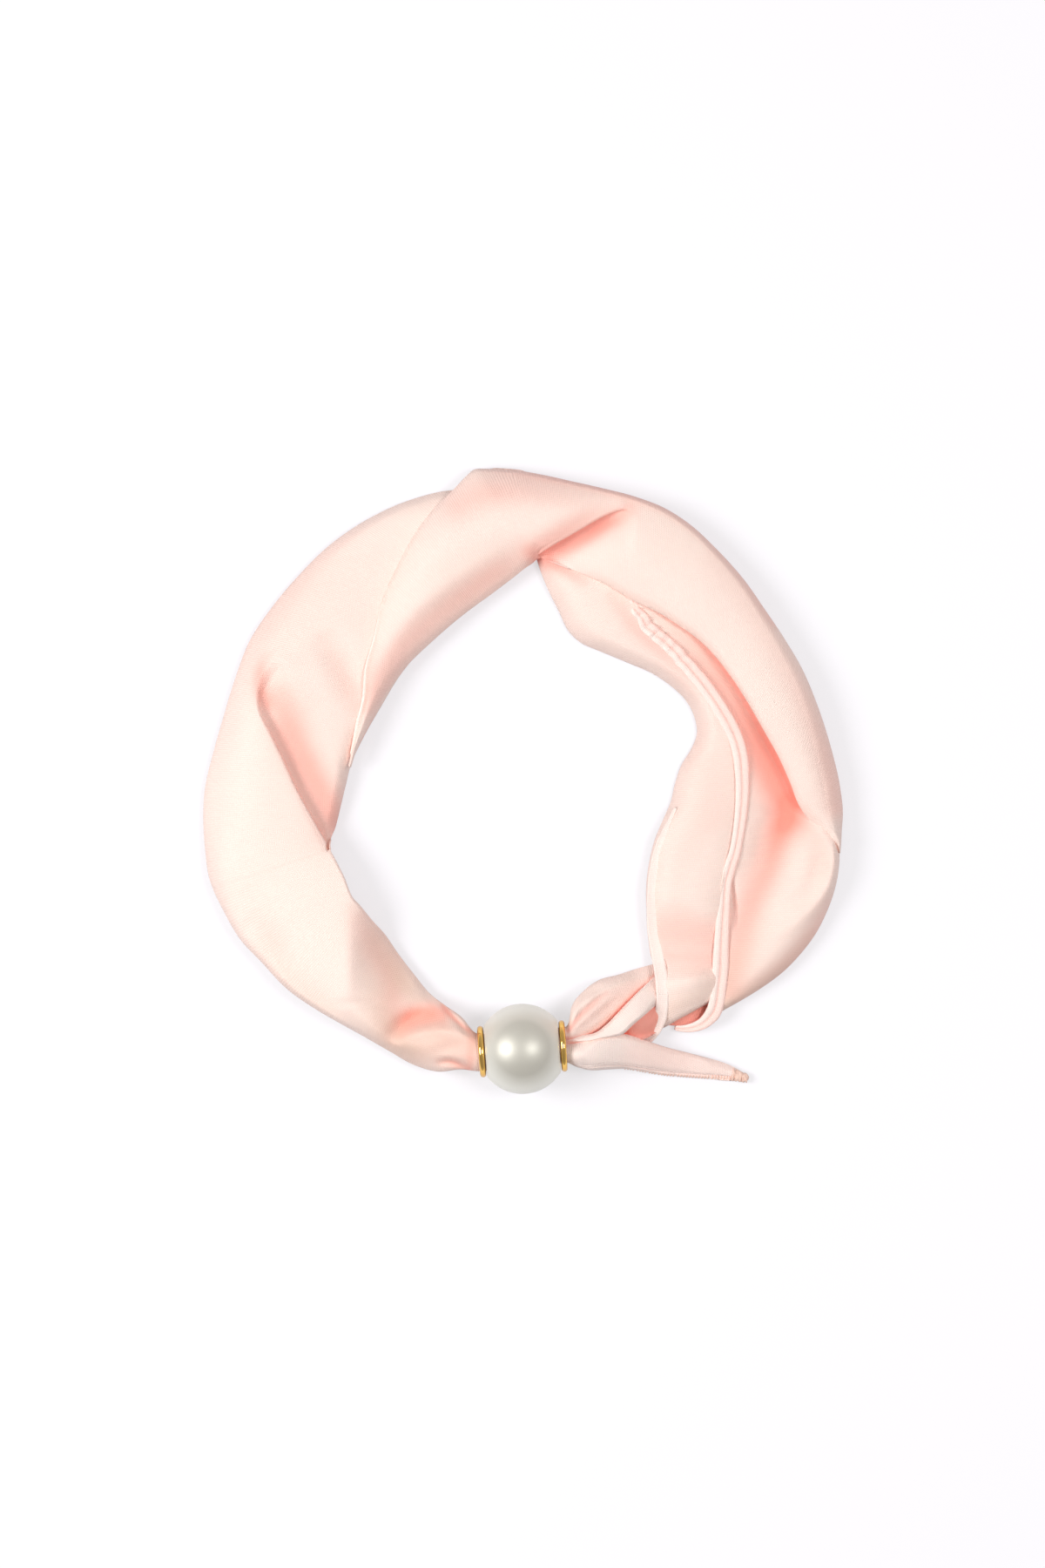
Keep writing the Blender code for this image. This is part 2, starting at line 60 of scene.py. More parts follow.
lamps = [
    # name, size m, watts, degrees from straight up, degrees round from +X, colour
    ("softBoxLeft", 0.58, 9.7, 42.0, 181.0, (1.0, 0.985, 0.96)),
    ("softBoxTop", 0.34, 4.4, 25.0, 2.0, (1.0, 0.99, 0.975)),
]


def mathNode(nodes, links, operation, first, second):
    node = nodes.new("ShaderNodeMath")
    node.operation = operation
    for k, value in enumerate((first, second)):
        if isinstance(value, (int, float)):
            node.inputs[k].default_value = value
        else:
            links.new(value, node.inputs[k])
    return node.outputs[0]


def placeCamera():
    data = bpy.data.cameras.new("shotCamera")
    data.sensor_width = 36.0
    data.lens = 36.0 * shot["height"] / shot["tall"]
    data.clip_end = 20.0
    camera = bpy.data.objects.new("shotCamera", data)
    camera.location = (shot["centre"][0] * mm, shot["centre"][1] * mm, (shot["height"] + shot["middle"]) * mm)
    bpy.context.scene.collection.objects.link(camera)
    bpy.context.scene.camera = camera


def placeLamps():
    for name, size, watts, fall, turn, colour in lamps:
        data = bpy.data.lights.new(name, "AREA")
        data.shape = "DISK"
        data.size = size
        data.energy = watts
        data.color = colour
        lamp = bpy.data.objects.new(name, data)
        away = Vector((sin(radians(fall)) * cos(radians(turn)), sin(radians(fall)) * sin(radians(turn)), cos(radians(fall))))
        lamp.location = away * 1.2
        lamp.rotation_euler = away.to_track_quat("Z", "Y").to_euler()
        bpy.context.scene.collection.objects.link(lamp)


def placeWorld():
    world = bpy.data.worlds.new("studio")
    world.use_nodes = True
    nodes, links = world.node_tree.nodes, world.node_tree.links
    where = nodes.new("ShaderNodeTexCoord")
    split = nodes.new("ShaderNodeSeparateXYZ")
    links.new(where.outputs["Generated"], split.inputs["Vector"])
    room = nodes.new("ShaderNodeValToRGB")  # pale walls, darker ceiling
    room.color_ramp.elements[0].color = (0.64, 0.60, 0.58, 1.0)
    room.color_ramp.elements[1].position = 0.35
    room.color_ramp.elements[1].color = (0.392, 0.366, 0.352, 1.0)
    links.new(split.outputs["Z"], room.inputs["Fac"])
    links.new(room.outputs["Color"], nodes["Background"].inputs["Color"])
    window = nodes.new("ShaderNodeVectorMath")  # brighter beyond the far and right sides
    window.operation = "DOT_PRODUCT"
    window.inputs[1].default_value = (0.16, 0.2, 0.0)
    links.new(where.outputs["Generated"], window.inputs[0])
    links.new(mathNode(nodes, links, "ADD", window.outputs["Value"], 1.0), nodes["Background"].inputs["Strength"])
    bpy.context.scene.world = world


def placeFloor():
    material = bpy.data.materials.new("whiteTable")
    material.use_nodes = True
    nodes, links = material.node_tree.nodes, material.node_tree.links
    shader = nodes["Principled BSDF"]
    shader.inputs["Base Color"].default_value = (0.41, 0.405, 0.445, 1.0)
    shader.inputs["Roughness"].default_value = 0.9
    shader.inputs["Specular IOR Level"].default_value = 0.0
    shader.inputs["Emission Color"].default_value = (1.0, 1.0, 1.0, 1.0)
    path = nodes.new("ShaderNodeLightPath")
    seen = nodes.new("ShaderNodeMath")
    seen.operation = "MAXIMUM"
    links.new(path.outputs["Is Camera Ray"], seen.inputs[0])
    links.new(path.outputs["Is Glossy Ray"], seen.inputs[1])
    through = nodes.new("ShaderNodeMath")
    through.operation = "MAXIMUM"
    links.new(seen.outputs[0], through.inputs[0])
    links.new(path.outputs["Is Transmission Ray"], through.inputs[1])
    glow = nodes.new("ShaderNodeMath")
    glow.operation = "MULTIPLY"
    glow.inputs[1].default_value = 0.57
    links.new(through.outputs[0], glow.inputs[0])
    links.new(glow.outputs[0], shader.inputs["Emission Strength"])
    bm = bmesh.new()
    bmesh.ops.create_grid(bm, x_segments=1, y_segments=1, size=3.0)
    data = bpy.data.meshes.new("tableTop")
    bm.to_mesh(data)
    bm.free()
    data.materials.append(material)
    floor = bpy.data.objects.new("tableTop", data)
    bpy.context.scene.collection.objects.link(floor)


bpy.context.scene.view_settings.view_transform = "Standard"
bpy.context.scene.cycles.max_bounces = 20  # light goes round many times in the folds and turns them coral; painted shade adds more coral there
bpy.context.scene.cycles.diffuse_bounces = 20
placeCamera()
placeLamps()
placeWorld()
placeFloor()
print("stage set")

# Materials


def socketGroup(name, inputs, outputs):
    group = bpy.data.node_groups.new(name, "ShaderNodeTree")
    for label, kind in inputs:
        group.interface.new_socket(label, in_out="INPUT", socket_type=kind)
    for label, kind in outputs:
        group.interface.new_socket(label, in_out="OUTPUT", socket_type=kind)
    return group, group.nodes.new("NodeGroupInput"), group.nodes.new("NodeGroupOutput")


def satinWeave():
    group, given, made = socketGroup(
        "satinWeave",
        [("Vector", "NodeSocketVector")],
        [("Shade", "NodeSocketFloat"), ("Height", "NodeSocketFloat")],
    )
    nodes, links = group.nodes, group.links
    fine = nodes.new("ShaderNodeMapping")
    fine.inputs["Scale"].default_value = (900.0, 3600.0, 1.0)  # threads along the run, under 0.3 mm apart
    links.new(given.outputs["Vector"], fine.inputs["Vector"])
    floats = nodes.new("ShaderNodeTexNoise")
    floats.inputs["Scale"].default_value = 1.0
    floats.inputs["Detail"].default_value = 1.5
    links.new(fine.outputs["Vector"], floats.inputs["Vector"])
    cross = nodes.new("ShaderNodeTexWave")
    cross.bands_direction = "X"
    cross.inputs["Scale"].default_value = 475.0  # ribs across the run, 0.66 mm apart
    cross.inputs["Distortion"].default_value = 1.6
    cross.inputs["Detail"].default_value = 1.0
    cross.inputs["Detail Scale"].default_value = 0.6
    links.new(given.outputs["Vector"], cross.inputs["Vector"])
    broad = nodes.new("ShaderNodeTexNoise")
    broad.inputs["Scale"].default_value = 38.0
    broad.inputs["Detail"].default_value = 2.0
    links.new(given.outputs["Vector"], broad.inputs["Vector"])
    along = nodes.new("ShaderNodeTexWave")
    along.bands_direction = "Y"
    along.inputs["Scale"].default_value = 540.0
    along.inputs["Distortion"].default_value = 2.0
    along.inputs["Detail"].default_value = 1.0
    links.new(given.outputs["Vector"], along.inputs["Vector"])
    ribs = mathNode(nodes, links, "MULTIPLY", cross.outputs["Fac"], 0.6)
    lines = mathNode(nodes, links, "ADD", ribs, mathNode(nodes, links, "MULTIPLY", along.outputs["Fac"], 0.45))
    height = mathNode(nodes, links, "ADD", lines, floats.outputs["Fac"])
    spread = mathNode(nodes, links, "MULTIPLY", broad.outputs["Fac"], 0.8)
    shade = mathNode(nodes, links, "ADD", mathNode(nodes, links, "MULTIPLY", height, 0.55), mathNode(nodes, links, "MULTIPLY", spread, 0.15))
    links.new(shade, made.inputs["Shade"])
    links.new(height, made.inputs["Height"])
    return group


def satin(name, light, dark, weave, roughness=0.66, bump=0.45):
    material = bpy.data.materials.new(name)
    material.use_nodes = True
    nodes, links = material.node_tree.nodes, material.node_tree.links
    shader = nodes["Principled BSDF"]
    cloth = nodes.new("ShaderNodeUVMap")
    cloth.uv_map = "cloth"
    threads = nodes.new("ShaderNodeGroup")
    threads.node_tree = weave
    links.new(cloth.outputs["UV"], threads.inputs["Vector"])
    tone = nodes.new("ShaderNodeMix")
    tone.data_type = "RGBA"
    tone.inputs["A"].default_value = (*dark, 1.0)
    tone.inputs["B"].default_value = (*light, 1.0)
    links.new(threads.outputs["Shade"], tone.inputs["Factor"])
    # painted shade: closed-in folds and the listed fold lines are painted deep coral
    foldShade = nodes.new("ShaderNodeAttribute")
    foldShade.attribute_name = "foldShade"
    deep = nodes.new("ShaderNodeMix")
    deep.data_type = "RGBA"
    deep.inputs["B"].default_value = (0.985, 0.24, 0.16, 1.0)
    links.new(foldShade.outputs["Fac"], deep.inputs["Factor"])
    links.new(tone.outputs["Result"], deep.inputs["A"])
    # painted shade: slopes facing away from the lamps are painted tan
    turned = nodes.new("ShaderNodeAttribute")
    turned.attribute_name = "slopeShade"
    slopeShadeMix = nodes.new("ShaderNodeMix")  # painted shade: a darker tan where the slopes face away from the lamps
    slopeShadeMix.data_type = "RGBA"
    slopeShadeMix.inputs["B"].default_value = (0.80, 0.57, 0.45, 1.0)
    links.new(turned.outputs["Fac"], slopeShadeMix.inputs["Factor"])
    links.new(deep.outputs["Result"], slopeShadeMix.inputs["A"])
    links.new(slopeShadeMix.outputs["Result"], shader.inputs["Base Color"])
    raised = nodes.new("ShaderNodeBump")
    raised.inputs["Strength"].default_value = bump
    raised.inputs["Distance"].default_value = 0.0003
    links.new(threads.outputs["Height"], raised.inputs["Height"])
    links.new(raised.outputs["Normal"], shader.inputs["Normal"])
    shader.inputs["Roughness"].default_value = roughness
    shader.inputs["Specular IOR Level"].default_value = 1.0
    shader.inputs["IOR"].default_value = 1.7
    shader.inputs["Anisotropic"].default_value = 0.4
    run = nodes.new("ShaderNodeTangent")
    run.direction_type = "UV_MAP"
    run.uv_map = "cloth"
    links.new(run.outputs["Tangent"], shader.inputs["Tangent"])
    return material


def pearlCoat():
    material = bpy.data.materials.new("pearlCoat")
    material.use_nodes = True
    nodes, links = material.node_tree.nodes, material.node_tree.links
    shader = nodes["Principled BSDF"]
    where = nodes.new("ShaderNodeTexCoord")
    cloudy = nodes.new("ShaderNodeTexNoise")
    cloudy.inputs["Scale"].default_value = 90.0
    cloudy.inputs["Detail"].default_value = 3.0
    links.new(where.outputs["Object"], cloudy.inputs["Vector"])
    tone = nodes.new("ShaderNodeMix")
    tone.data_type = "RGBA"
    tone.inputs["A"].default_value = (0.57, 0.562, 0.505, 1.0)
    tone.inputs["B"].default_value = (0.63, 0.622, 0.565, 1.0)
    links.new(cloudy.outputs["Fac"], tone.inputs["Factor"])
    facing = nodes.new("ShaderNodeLayerWeight")
    facing.inputs["Blend"].default_value = 0.5
    rim = nodes.new("ShaderNodeMix")  # painted reflection: the rim is painted paler, as if it showed the white table
    rim.data_type = "RGBA"
    rim.inputs["B"].default_value = (0.87, 0.875, 0.81, 1.0)
    rimReflection = nodes.new("ShaderNodeValToRGB")
    for turned, share in ((0.19, 0.06), (0.28, 0.38), (0.56, 0.82)):
        rimReflection.color_ramp.elements.new(turned).color = (share, share, share, 1.0)
    links.new(facing.outputs["Facing"], rimReflection.inputs["Fac"])
    links.new(rimReflection.outputs["Color"], rim.inputs["Factor"])
    links.new(tone.outputs["Result"], rim.inputs["A"])
    links.new(rim.outputs["Result"], shader.inputs["Base Color"])
    shader.inputs["Metallic"].default_value = 0.42
    shader.inputs["Roughness"].default_value = 0.45
    shader.inputs["Coat Weight"].default_value = 0.1
    shader.inputs["Coat Roughness"].default_value = 0.4
    shader.inputs["Coat IOR"].default_value = 1.6
    return material


def goldPlate():
    material = bpy.data.materials.new("goldPlate")
    material.use_nodes = True
    nodes, links = material.node_tree.nodes, material.node_tree.links
    shader = nodes["Principled BSDF"]
    where = nodes.new("ShaderNodeTexCoord")
    polish = nodes.new("ShaderNodeTexNoise")
    polish.inputs["Scale"].default_value = 700.0
    polish.inputs["Detail"].default_value = 2.0
    links.new(where.outputs["Object"], polish.inputs["Vector"])
    tone = nodes.new("ShaderNodeMix")
    tone.data_type = "RGBA"
    tone.inputs["A"].default_value = (0.90, 0.56, 0.14, 1.0)
    tone.inputs["B"].default_value = (0.96, 0.65, 0.21, 1.0)
    links.new(polish.outputs["Fac"], tone.inputs["Factor"])
    facing = nodes.new("ShaderNodeLayerWeight")
    facing.inputs["Blend"].default_value = 0.5
    grazingShade = nodes.new("ShaderNodeValToRGB")
    grazingShade.color_ramp.elements[0].position = 0.3
    grazingShade.color_ramp.elements[1].position = 0.95
    links.new(facing.outputs["Facing"], grazingShade.inputs["Fac"])
    deep = nodes.new("ShaderNodeMix")  # painted reflection: the flanks facing away are painted dark brown
    deep.data_type = "RGBA"
    deep.inputs["B"].default_value = (0.50, 0.22, 0.02, 1.0)
    links.new(grazingShade.outputs["Color"], deep.inputs["Factor"])
    links.new(tone.outputs["Result"], deep.inputs["A"])
    links.new(deep.outputs["Result"], shader.inputs["Base Color"])
    shader.inputs["Metallic"].default_value = 1.0
    shader.inputs["Roughness"].default_value = 0.1
    return material


def threadFibreLook():
    material = bpy.data.materials.new("threadFibre")
    material.use_nodes = True
    nodes, links = material.node_tree.nodes, material.node_tree.links
    shader = nodes["Principled BSDF"]
    where = nodes.new("ShaderNodeTexCoord")
    fibre = nodes.new("ShaderNodeTexNoise")
    fibre.inputs["Scale"].default_value = 2600.0
    fibre.inputs["Detail"].default_value = 2.0
    links.new(where.outputs["Object"], fibre.inputs["Vector"])
    tone = nodes.new("ShaderNodeMix")
    tone.data_type = "RGBA"
    tone.inputs["A"].default_value = (0.84, 0.56, 0.46, 1.0)
    tone.inputs["B"].default_value = (0.97, 0.74, 0.64, 1.0)
    links.new(fibre.outputs["Fac"], tone.inputs["Factor"])
    links.new(tone.outputs["Result"], shader.inputs["Base Color"])
    shader.inputs["Roughness"].default_value = 0.7
    return material


weave = satinWeave()
blushSatin = satin("blushSatin", (0.993, 0.835, 0.775), (0.964, 0.705, 0.622), weave)
# painted light: a paler copy of the blush satin for the strap, the tail and the hems
litSatin = satin("litSatin", (0.995, 0.87, 0.825), (0.978, 0.775, 0.71), weave)
threadFibre = threadFibreLook()
pearl = pearlCoat()
gold = goldPlate()
print("materials ready")

# Cloth: sections of folded satin carried along the loop. Heights and plan points are in mm.


def row(outer, inner, base, crest, at=0.5, lip=None, edges=None, bundle=0.0, rolls=(8.0, 8.0), shoulder=None, fall=2.0):
    low = min(base + 2.4, (base + crest) / 2)
    edgeOut, edgeIn = edges if edges else (low, low)
    usual = base + (crest - base) * (0.58 + 0.42 * bundle)
    shoulder = usual if shoulder is None else shoulder
    lip = usual if lip is None else lip
    return (*outer, *inner, base, edgeOut, edgeIn, at, crest, shoulder, lip, bundle, *rolls, fall)


bead = {
    "centre": Vector((-0.2, -89.6, 15.0)),
    "along": Vector((cos(radians(4.0)), sin(radians(4.0)), 0.0)),
    "across": Vector((-sin(radians(4.0)), cos(radians(4.0)), 0.0)),
    "radius": 15.0,
    "bore": 6.9,
    "ring": 8.6,
    "ringWide": 2.0,
    "face": sqrt(15.0**2 - 8.6**2),
}


def boreRow(along, side, half, rise, flip=False):
    middle = bead["centre"] + bead["along"] * along + bead["across"] * side
    outer = (middle - bead["across"] * half)[:2]
    inner = (middle + bead["across"] * half)[:2]
    if flip:
        outer, inner = inner, outer
    return row(outer, inner, 15.0 - rise, 15.0 + rise, edges=(15.0, 15.0), lip=15.0 + rise, bundle=1.0)


def glide(rows, count, plan=None):
    table = np.array(rows, float)
    plan = table[:, :2] if plan is None else plan
    gaps = np.linalg.norm(np.diff(plan, axis=0), axis=1)
    knots = np.concatenate(([0.0], np.cumsum(gaps)))
    slopes = np.gradient(table, knots, axis=0)
    places = np.linspace(0, knots[-1], count)
    span = np.clip(np.searchsorted(knots, places, side="right") - 1, 0, len(gaps) - 1)
    gap = gaps[span][:, None]
    t = (places - knots[span])[:, None] / gap
    ends = (2 * t**3 - 3 * t**2 + 1) * table[span] + (3 * t**2 - 2 * t**3) * table[span + 1]
    return ends + gap * ((t**3 - 2 * t**2 + t) * slopes[span] + (t**3 - t**2) * slopes[span + 1])


def pleatShares(c, pleat):
    count = len(c)
    share, facts = np.full(count, np.nan), np.zeros((count, 4))  # drop, tuck, crispness and heal
    facts[:, 3] = 10.0
    if not pleat:
        return np.full((count, 1), 0.7), *(facts[:, k : k + 1] for k in range(4))
    line = glide(pleat, 120)
    start, step = line[:-1, :2], np.diff(line[:, :2], axis=0)
    for i in range(count):
        o = c[i, 0:2]
        d = c[i, 2:4] - o
        cross = d[0] * step[:, 1] - d[1] * step[:, 0]
        cross = np.where(np.abs(cross) < 1e-9, 1e-9, cross)
        gap = start - o
        s = (gap[:, 0] * step[:, 1] - gap[:, 1] * step[:, 0]) / cross
        t = (gap[:, 0] * d[1] - gap[:, 1] * d[0]) / cross
        hits = np.nonzero((t >= 0) & (t <= 1) & (s > 0) & (s < 1))[0]
        if len(hits):
            k = hits[0]
            share[i] = s[k]
            facts[i] = np.maximum((0, 0, 0, 1), line[k, 2:6] + t[k] * (line[k + 1, 2:6] - line[k, 2:6]))
    known = np.nonzero(~np.isnan(share))[0]
    share = np.interp(np.arange(count), known, share[known])
    return np.clip(share, 0.06, 0.965)[:, None], *(facts[:, k : k + 1] for k in range(4))


def strokeLift(points, stroke):
    line = glide(stroke[0], 60)
    far = np.sqrt(((points[:, None, :] - line[None, :, :2]) ** 2).sum(2))
    nearest = far.argmin(1)
    if line.shape[1] == 3:  # the line gives its own height
        height = line[nearest, 2]
    else:
        height = stroke[1] * np.sin(pi * np.clip(nearest / 59.0, 0.02, 0.98)) ** 0.6
    return height * np.exp(-((far.min(1) / stroke[-1]) ** 2))


def rippleLift(points, size, seed):
    draw = np.random.default_rng(seed)
    lift = np.zeros(len(points))
    for k in range(7):
        turn, phase = draw.uniform(0, 2 * pi, 2)
        length = draw.uniform(15.0, 42.0)
        lift += np.sin((points[:, 0] * cos(turn) + points[:, 1] * sin(turn)) * 2 * pi / length + phase) * length / 30.0
    return lift * size / 3.0


def across(f, shares, heights):
    shares = np.array(shares)
    slopes = np.gradient(heights, shares, axis=1)
    k = np.clip(np.searchsorted(shares, f, side="right") - 1, 0, len(shares) - 2)
    gap = shares[k + 1] - shares[k]
    t = (f - shares[k]) / gap
    here, there = (np.take_along_axis(heights, k + step, 1) for step in (0, 1))
    leave, reach = (np.take_along_axis(slopes, k + step, 1) for step in (0, 1))
    return (2 * t**3 - 3 * t**2 + 1) * here + (3 * t**2 - 2 * t**3) * there + gap * ((t**3 - 2 * t**2 + t) * leave + (t**3 - t**2) * reach)


def sectionGrid(spec):
    table = np.array(spec["rows"], float)
    middles = (table[:, :2] + table[:, 2:4]) / 2
    c = glide(table, spec["along"], middles)
    heights = glide(spec["heights"], spec["along"], middles) if "heights" in spec else None
    ox, oy, ix, iy, base, edgeOut, edgeIn, at, crest, shoulder, lip, bundle, rollOut, rollIn, fall = (c[:, k : k + 1] for k in range(15))
    width = np.hypot(ix - ox, iy - oy)
    pleatAt, drop, tuck, crisp, heal = pleatShares(c, spec.get("pleat"))
    crisp = np.clip(crisp, 0, 1)
    bundle = np.clip(bundle, 0, 1)
    free = spec.get("freeInner", False)

    def rolled(reach):
        return np.minimum(reach, width * 0.5) * (1 - bundle) + width * 0.5 * bundle

    def quarter(near):
        return np.sqrt(1 - (1 - np.clip(near, 0, 1)) ** 2)

    def rise(f, out, inn):
        return quarter(np.minimum(f * width / rolled(out), (1 - f) * width / rolled(inn)))

    def edge(f):
        return edgeOut + (edgeIn - edgeOut) * f

    def upper(f, sunk):
        low = np.where(f < at, shoulder, lip)
        span = np.where(f < at, at, 1 - at)
        crown = crest - (crest - low) * np.abs((f - at) / span) ** fall if heights is None else across(f, spec["shares"], heights)
        near = quarter(f * width / rolled(rollOut)) if free else rise(f, rollOut, rollIn)
        return edge(f) + (crown - sunk - edge(f)) * near

    def lower(f):
        under = edge(f) - (edge(f) - base + 0.5) * rise(f, 2.2, spec.get("underIn", 2.2))
        return np.maximum(np.maximum(base, 0.25), under)

    def ramp(count):
        return np.linspace(0, 1, count + 1)[None, 1:]

    counts = spec.get("counts", (12, 56, 22, 34, 12))
    wide = np.minimum(5.4 - 3.0 * crisp, (1 - pleatAt) * width / 2)
    foot = pleatAt + wide / width
    parts = []  # shares, heights and how far each point takes the strokes

    f = 0.5 - 0.5 * np.linspace(0, 1, counts[0])[None, :] + 0 * width
    parts.append((f, lower(f), 0 * f))
    f = (pleatAt - 0.9 * crisp * np.minimum(1.0, drop / 2.8) / width) * (1 - np.cos(pi / 2 * ramp(counts[1])))
    parts.append((f, upper(f, 0.0), rise(f, rollOut, rollIn)))

    # the pleat: a soft step where it starts, a crisp fold tucked under itself further on
    high, deep = upper(pleatAt, 0.0), np.maximum(upper(pleatAt, 0.0) - upper(foot, drop), 0.0)
    r = np.minimum(1.0, deep / 2.8)
    turn = [
        (0 * r, 0 * r), (0.55 * r, -0.1 * r), (0.95 * r, -0.55 * r), (0.95 * r, -1.2 * r), (0.35 * r, -1.75 * r),
        (-0.5 * tuck, -0.5 * deep - 0.6 * r), (-tuck, -0.78 * deep), (-0.6 * tuck, -0.97 * deep), (0.35 * wide, -deep), (wide, -deep),
    ]
    xs, zs = (np.concatenate([point[k] for point in turn], axis=1) for k in (0, 1))
    steps = ramp(counts[2])[0] * (len(turn) - 1)
    k = np.clip(steps.astype(int), 0, len(turn) - 2)
    t = steps - k

    def through(v):
        before, after = np.clip(k - 1, 0, None), np.clip(k + 2, None, len(turn) - 1)
        p0, p1, p2, p3 = v[:, before], v[:, k], v[:, k + 1], v[:, after]
        return 0.5 * (2 * p1 + (p2 - p0) * t + (2 * p0 - 5 * p1 + 4 * p2 - p3) * t**2 + (3 * p1 - p0 - 3 * p2 + p3) * t**3)

    w = ramp(counts[2])
    soft = pleatAt + (foot - pleatAt) * w
    f = (1 - crisp) * soft + crisp * (pleatAt + (through(xs) - 0.9 * r * (1 - w)) / width)
    z = (1 - crisp) * upper(soft, drop * w**2 * (3 - 2 * w)) + crisp * (high + through(zs))
    parts.append((f, z, rise(pleatAt, rollOut, rollIn) + 0 * f))

    f = foot + (1 - foot) * np.sin(pi / 2 * ramp(counts[3]))
    sunk = drop * np.exp(-(((f - foot) * width / heal) ** 1.4))
    parts.append((f, upper(f, sunk), quarter(f * width / rolled(rollOut)) if free else rise(f, rollOut, rollIn)))
    if counts[4]:
        f = 1 - 0.45 * ramp(counts[4]) + 0 * width
        parts.append((f, lower(f), 0 * f))

    f, z, top = (np.concatenate(part, axis=1) for part in zip(*parts))
    grid = np.stack([ox + (ix - ox) * f, oy + (iy - oy) * f, z], axis=2)
    plan = grid[:, :, :2].reshape(-1, 2)
    lift = sum((strokeLift(plan, stroke) for stroke in spec.get("strokes", [])), rippleLift(plan, spec.get("ripple", 0.25), 7))
    grid[:, :, 2] += lift.reshape(f.shape) * top
    return grid


def softened(chart, passes):
    for _ in range(passes):
        for axis in (0, 1):
            chart = (np.roll(chart, 1, axis) + 2 * chart + np.roll(chart, -1, axis)) / 4
    return chart


def skyMap(grids, reach=20):
    # the share of open sky over every square millimetre of the table
    low, wide, tall = np.array([-118.0, -114.0]), 236, 228
    top = np.zeros((wide, tall))
    for grid in grids:
        grid = np.stack([grid[1:], (grid[1:] + grid[:-1]) / 2], axis=1).reshape(-1, *grid.shape[1:])
        grid = np.stack([grid[:, 1:], (grid[:, 1:] + grid[:, :-1]) / 2], axis=2).reshape(-1, 3)
        i, j = np.round(grid[:, :2] - low).astype(int).T
        np.maximum.at(top, (i, j), grid[:, 2])
    top = softened(top, 1)
    turns, views = 24, []
    for turn in range(turns):
        away = np.array([cos(2 * pi * turn / turns), sin(2 * pi * turn / turns)])
        rise = np.zeros_like(top)
        for step in range(2, reach + 1):
            i, j = np.round(away * step).astype(int)
            rise = np.maximum(rise, (np.roll(top, (-i, -j), (0, 1)) - top) / np.hypot(i, j))
        views.append(1 / (1 + rise**2))
    open_ = sum(np.maximum(views[k], views[k + turns // 2]) for k in range(turns // 2)) * 2 / turns
    return low, top, softened(open_, 2)


def painted(grid, strokes):
    plan = grid[:, :, :2].reshape(-1, 2)
    return sum((strokeLift(plan, stroke) for stroke in strokes), np.zeros(len(plan))).reshape(grid.shape[:2])


def foldShadeOf(grid, sky, strokes):
    # painted shade: closed-in places, cloth lying under other cloth and the given lines are painted coral
    low, top, open_ = sky
    place = np.clip(grid[:, :, :2] - low, 0, np.array(top.shape) - 1.001)
    i, j = place.astype(int).transpose(2, 0, 1)
    u, v = (place - place.astype(int)).transpose(2, 0, 1)

    def read(chart):
        return (chart[i, j] * (1 - u) + chart[i + 1, j] * u) * (1 - v) + (chart[i, j + 1] * (1 - u) + chart[i + 1, j + 1] * u) * v

    under = np.clip((read(top) - grid[:, :, 2] - 1.5) / 3.0, 0, 1) * 0.5
    closed = np.clip((0.9 - read(open_)) / 0.6 + under, 0, 1) * 0.5
    return np.clip(closed + painted(grid, strokes), 0, 0.9)


def clothMesh(name, grid, material, wrap=False, thick=0.35, foldShade=None, slopeShade=None):
    grid = grid * mm
    rows, columns = grid.shape[:2]
    across = np.concatenate([np.zeros((rows, 1)), np.cumsum(np.linalg.norm(np.diff(grid, axis=1), axis=2), axis=1)], axis=1)
    along = np.concatenate([[0.0], np.cumsum(np.linalg.norm(np.diff(grid, axis=0), axis=2).mean(1))])
    bm = bmesh.new()
    uv = bm.loops.layers.uv.new("cloth")
    # the painted shade charts are written on the vertices
    charts = [(bm.verts.layers.float.new(label), chart) for label, chart in (("foldShade", foldShade), ("slopeShade", slopeShade)) if chart is not None]
    bmesh.ops.create_grid(bm, x_segments=rows - 1, y_segments=columns - 1, size=1.0)
    cell = {}
    for vert in bm.verts:
        i, j = round((vert.co.x + 1) / 2 * (rows - 1)), round((vert.co.y + 1) / 2 * (columns - 1))
        cell[vert.index] = (i, j)
        vert.co = grid[i, j]
        for layer, chart in charts:
            vert[layer] = chart[i, j]
    for face in bm.faces:
        face.smooth = True
        for loop in face.loops:
            i, j = cell[loop.vert.index]
            loop[uv].uv = (along[i], across[i, j])
    if wrap:
        bmesh.ops.remove_doubles(bm, verts=bm.verts, dist=1e-7)
        bmesh.ops.recalc_face_normals(bm, faces=bm.faces)
    else:
        bm.normal_update()
        upward = sum(face.normal.z * face.calc_area() for face in bm.faces if face.calc_center_median().z > grid[:, :, 2].mean())
        if upward < 0:
            bmesh.ops.reverse_faces(bm, faces=bm.faces)
    data = bpy.data.meshes.new(name)
    bm.to_mesh(data)
    bm.free()
    data.materials.append(material)
    piece = bpy.data.objects.new(name, data)
    bpy.context.scene.collection.objects.link(piece)
    if thick:
        cloth = piece.modifiers.new("clothThickness", "SOLIDIFY")
        cloth.thickness = thick * mm
        cloth.offset = -1.0
    return piece


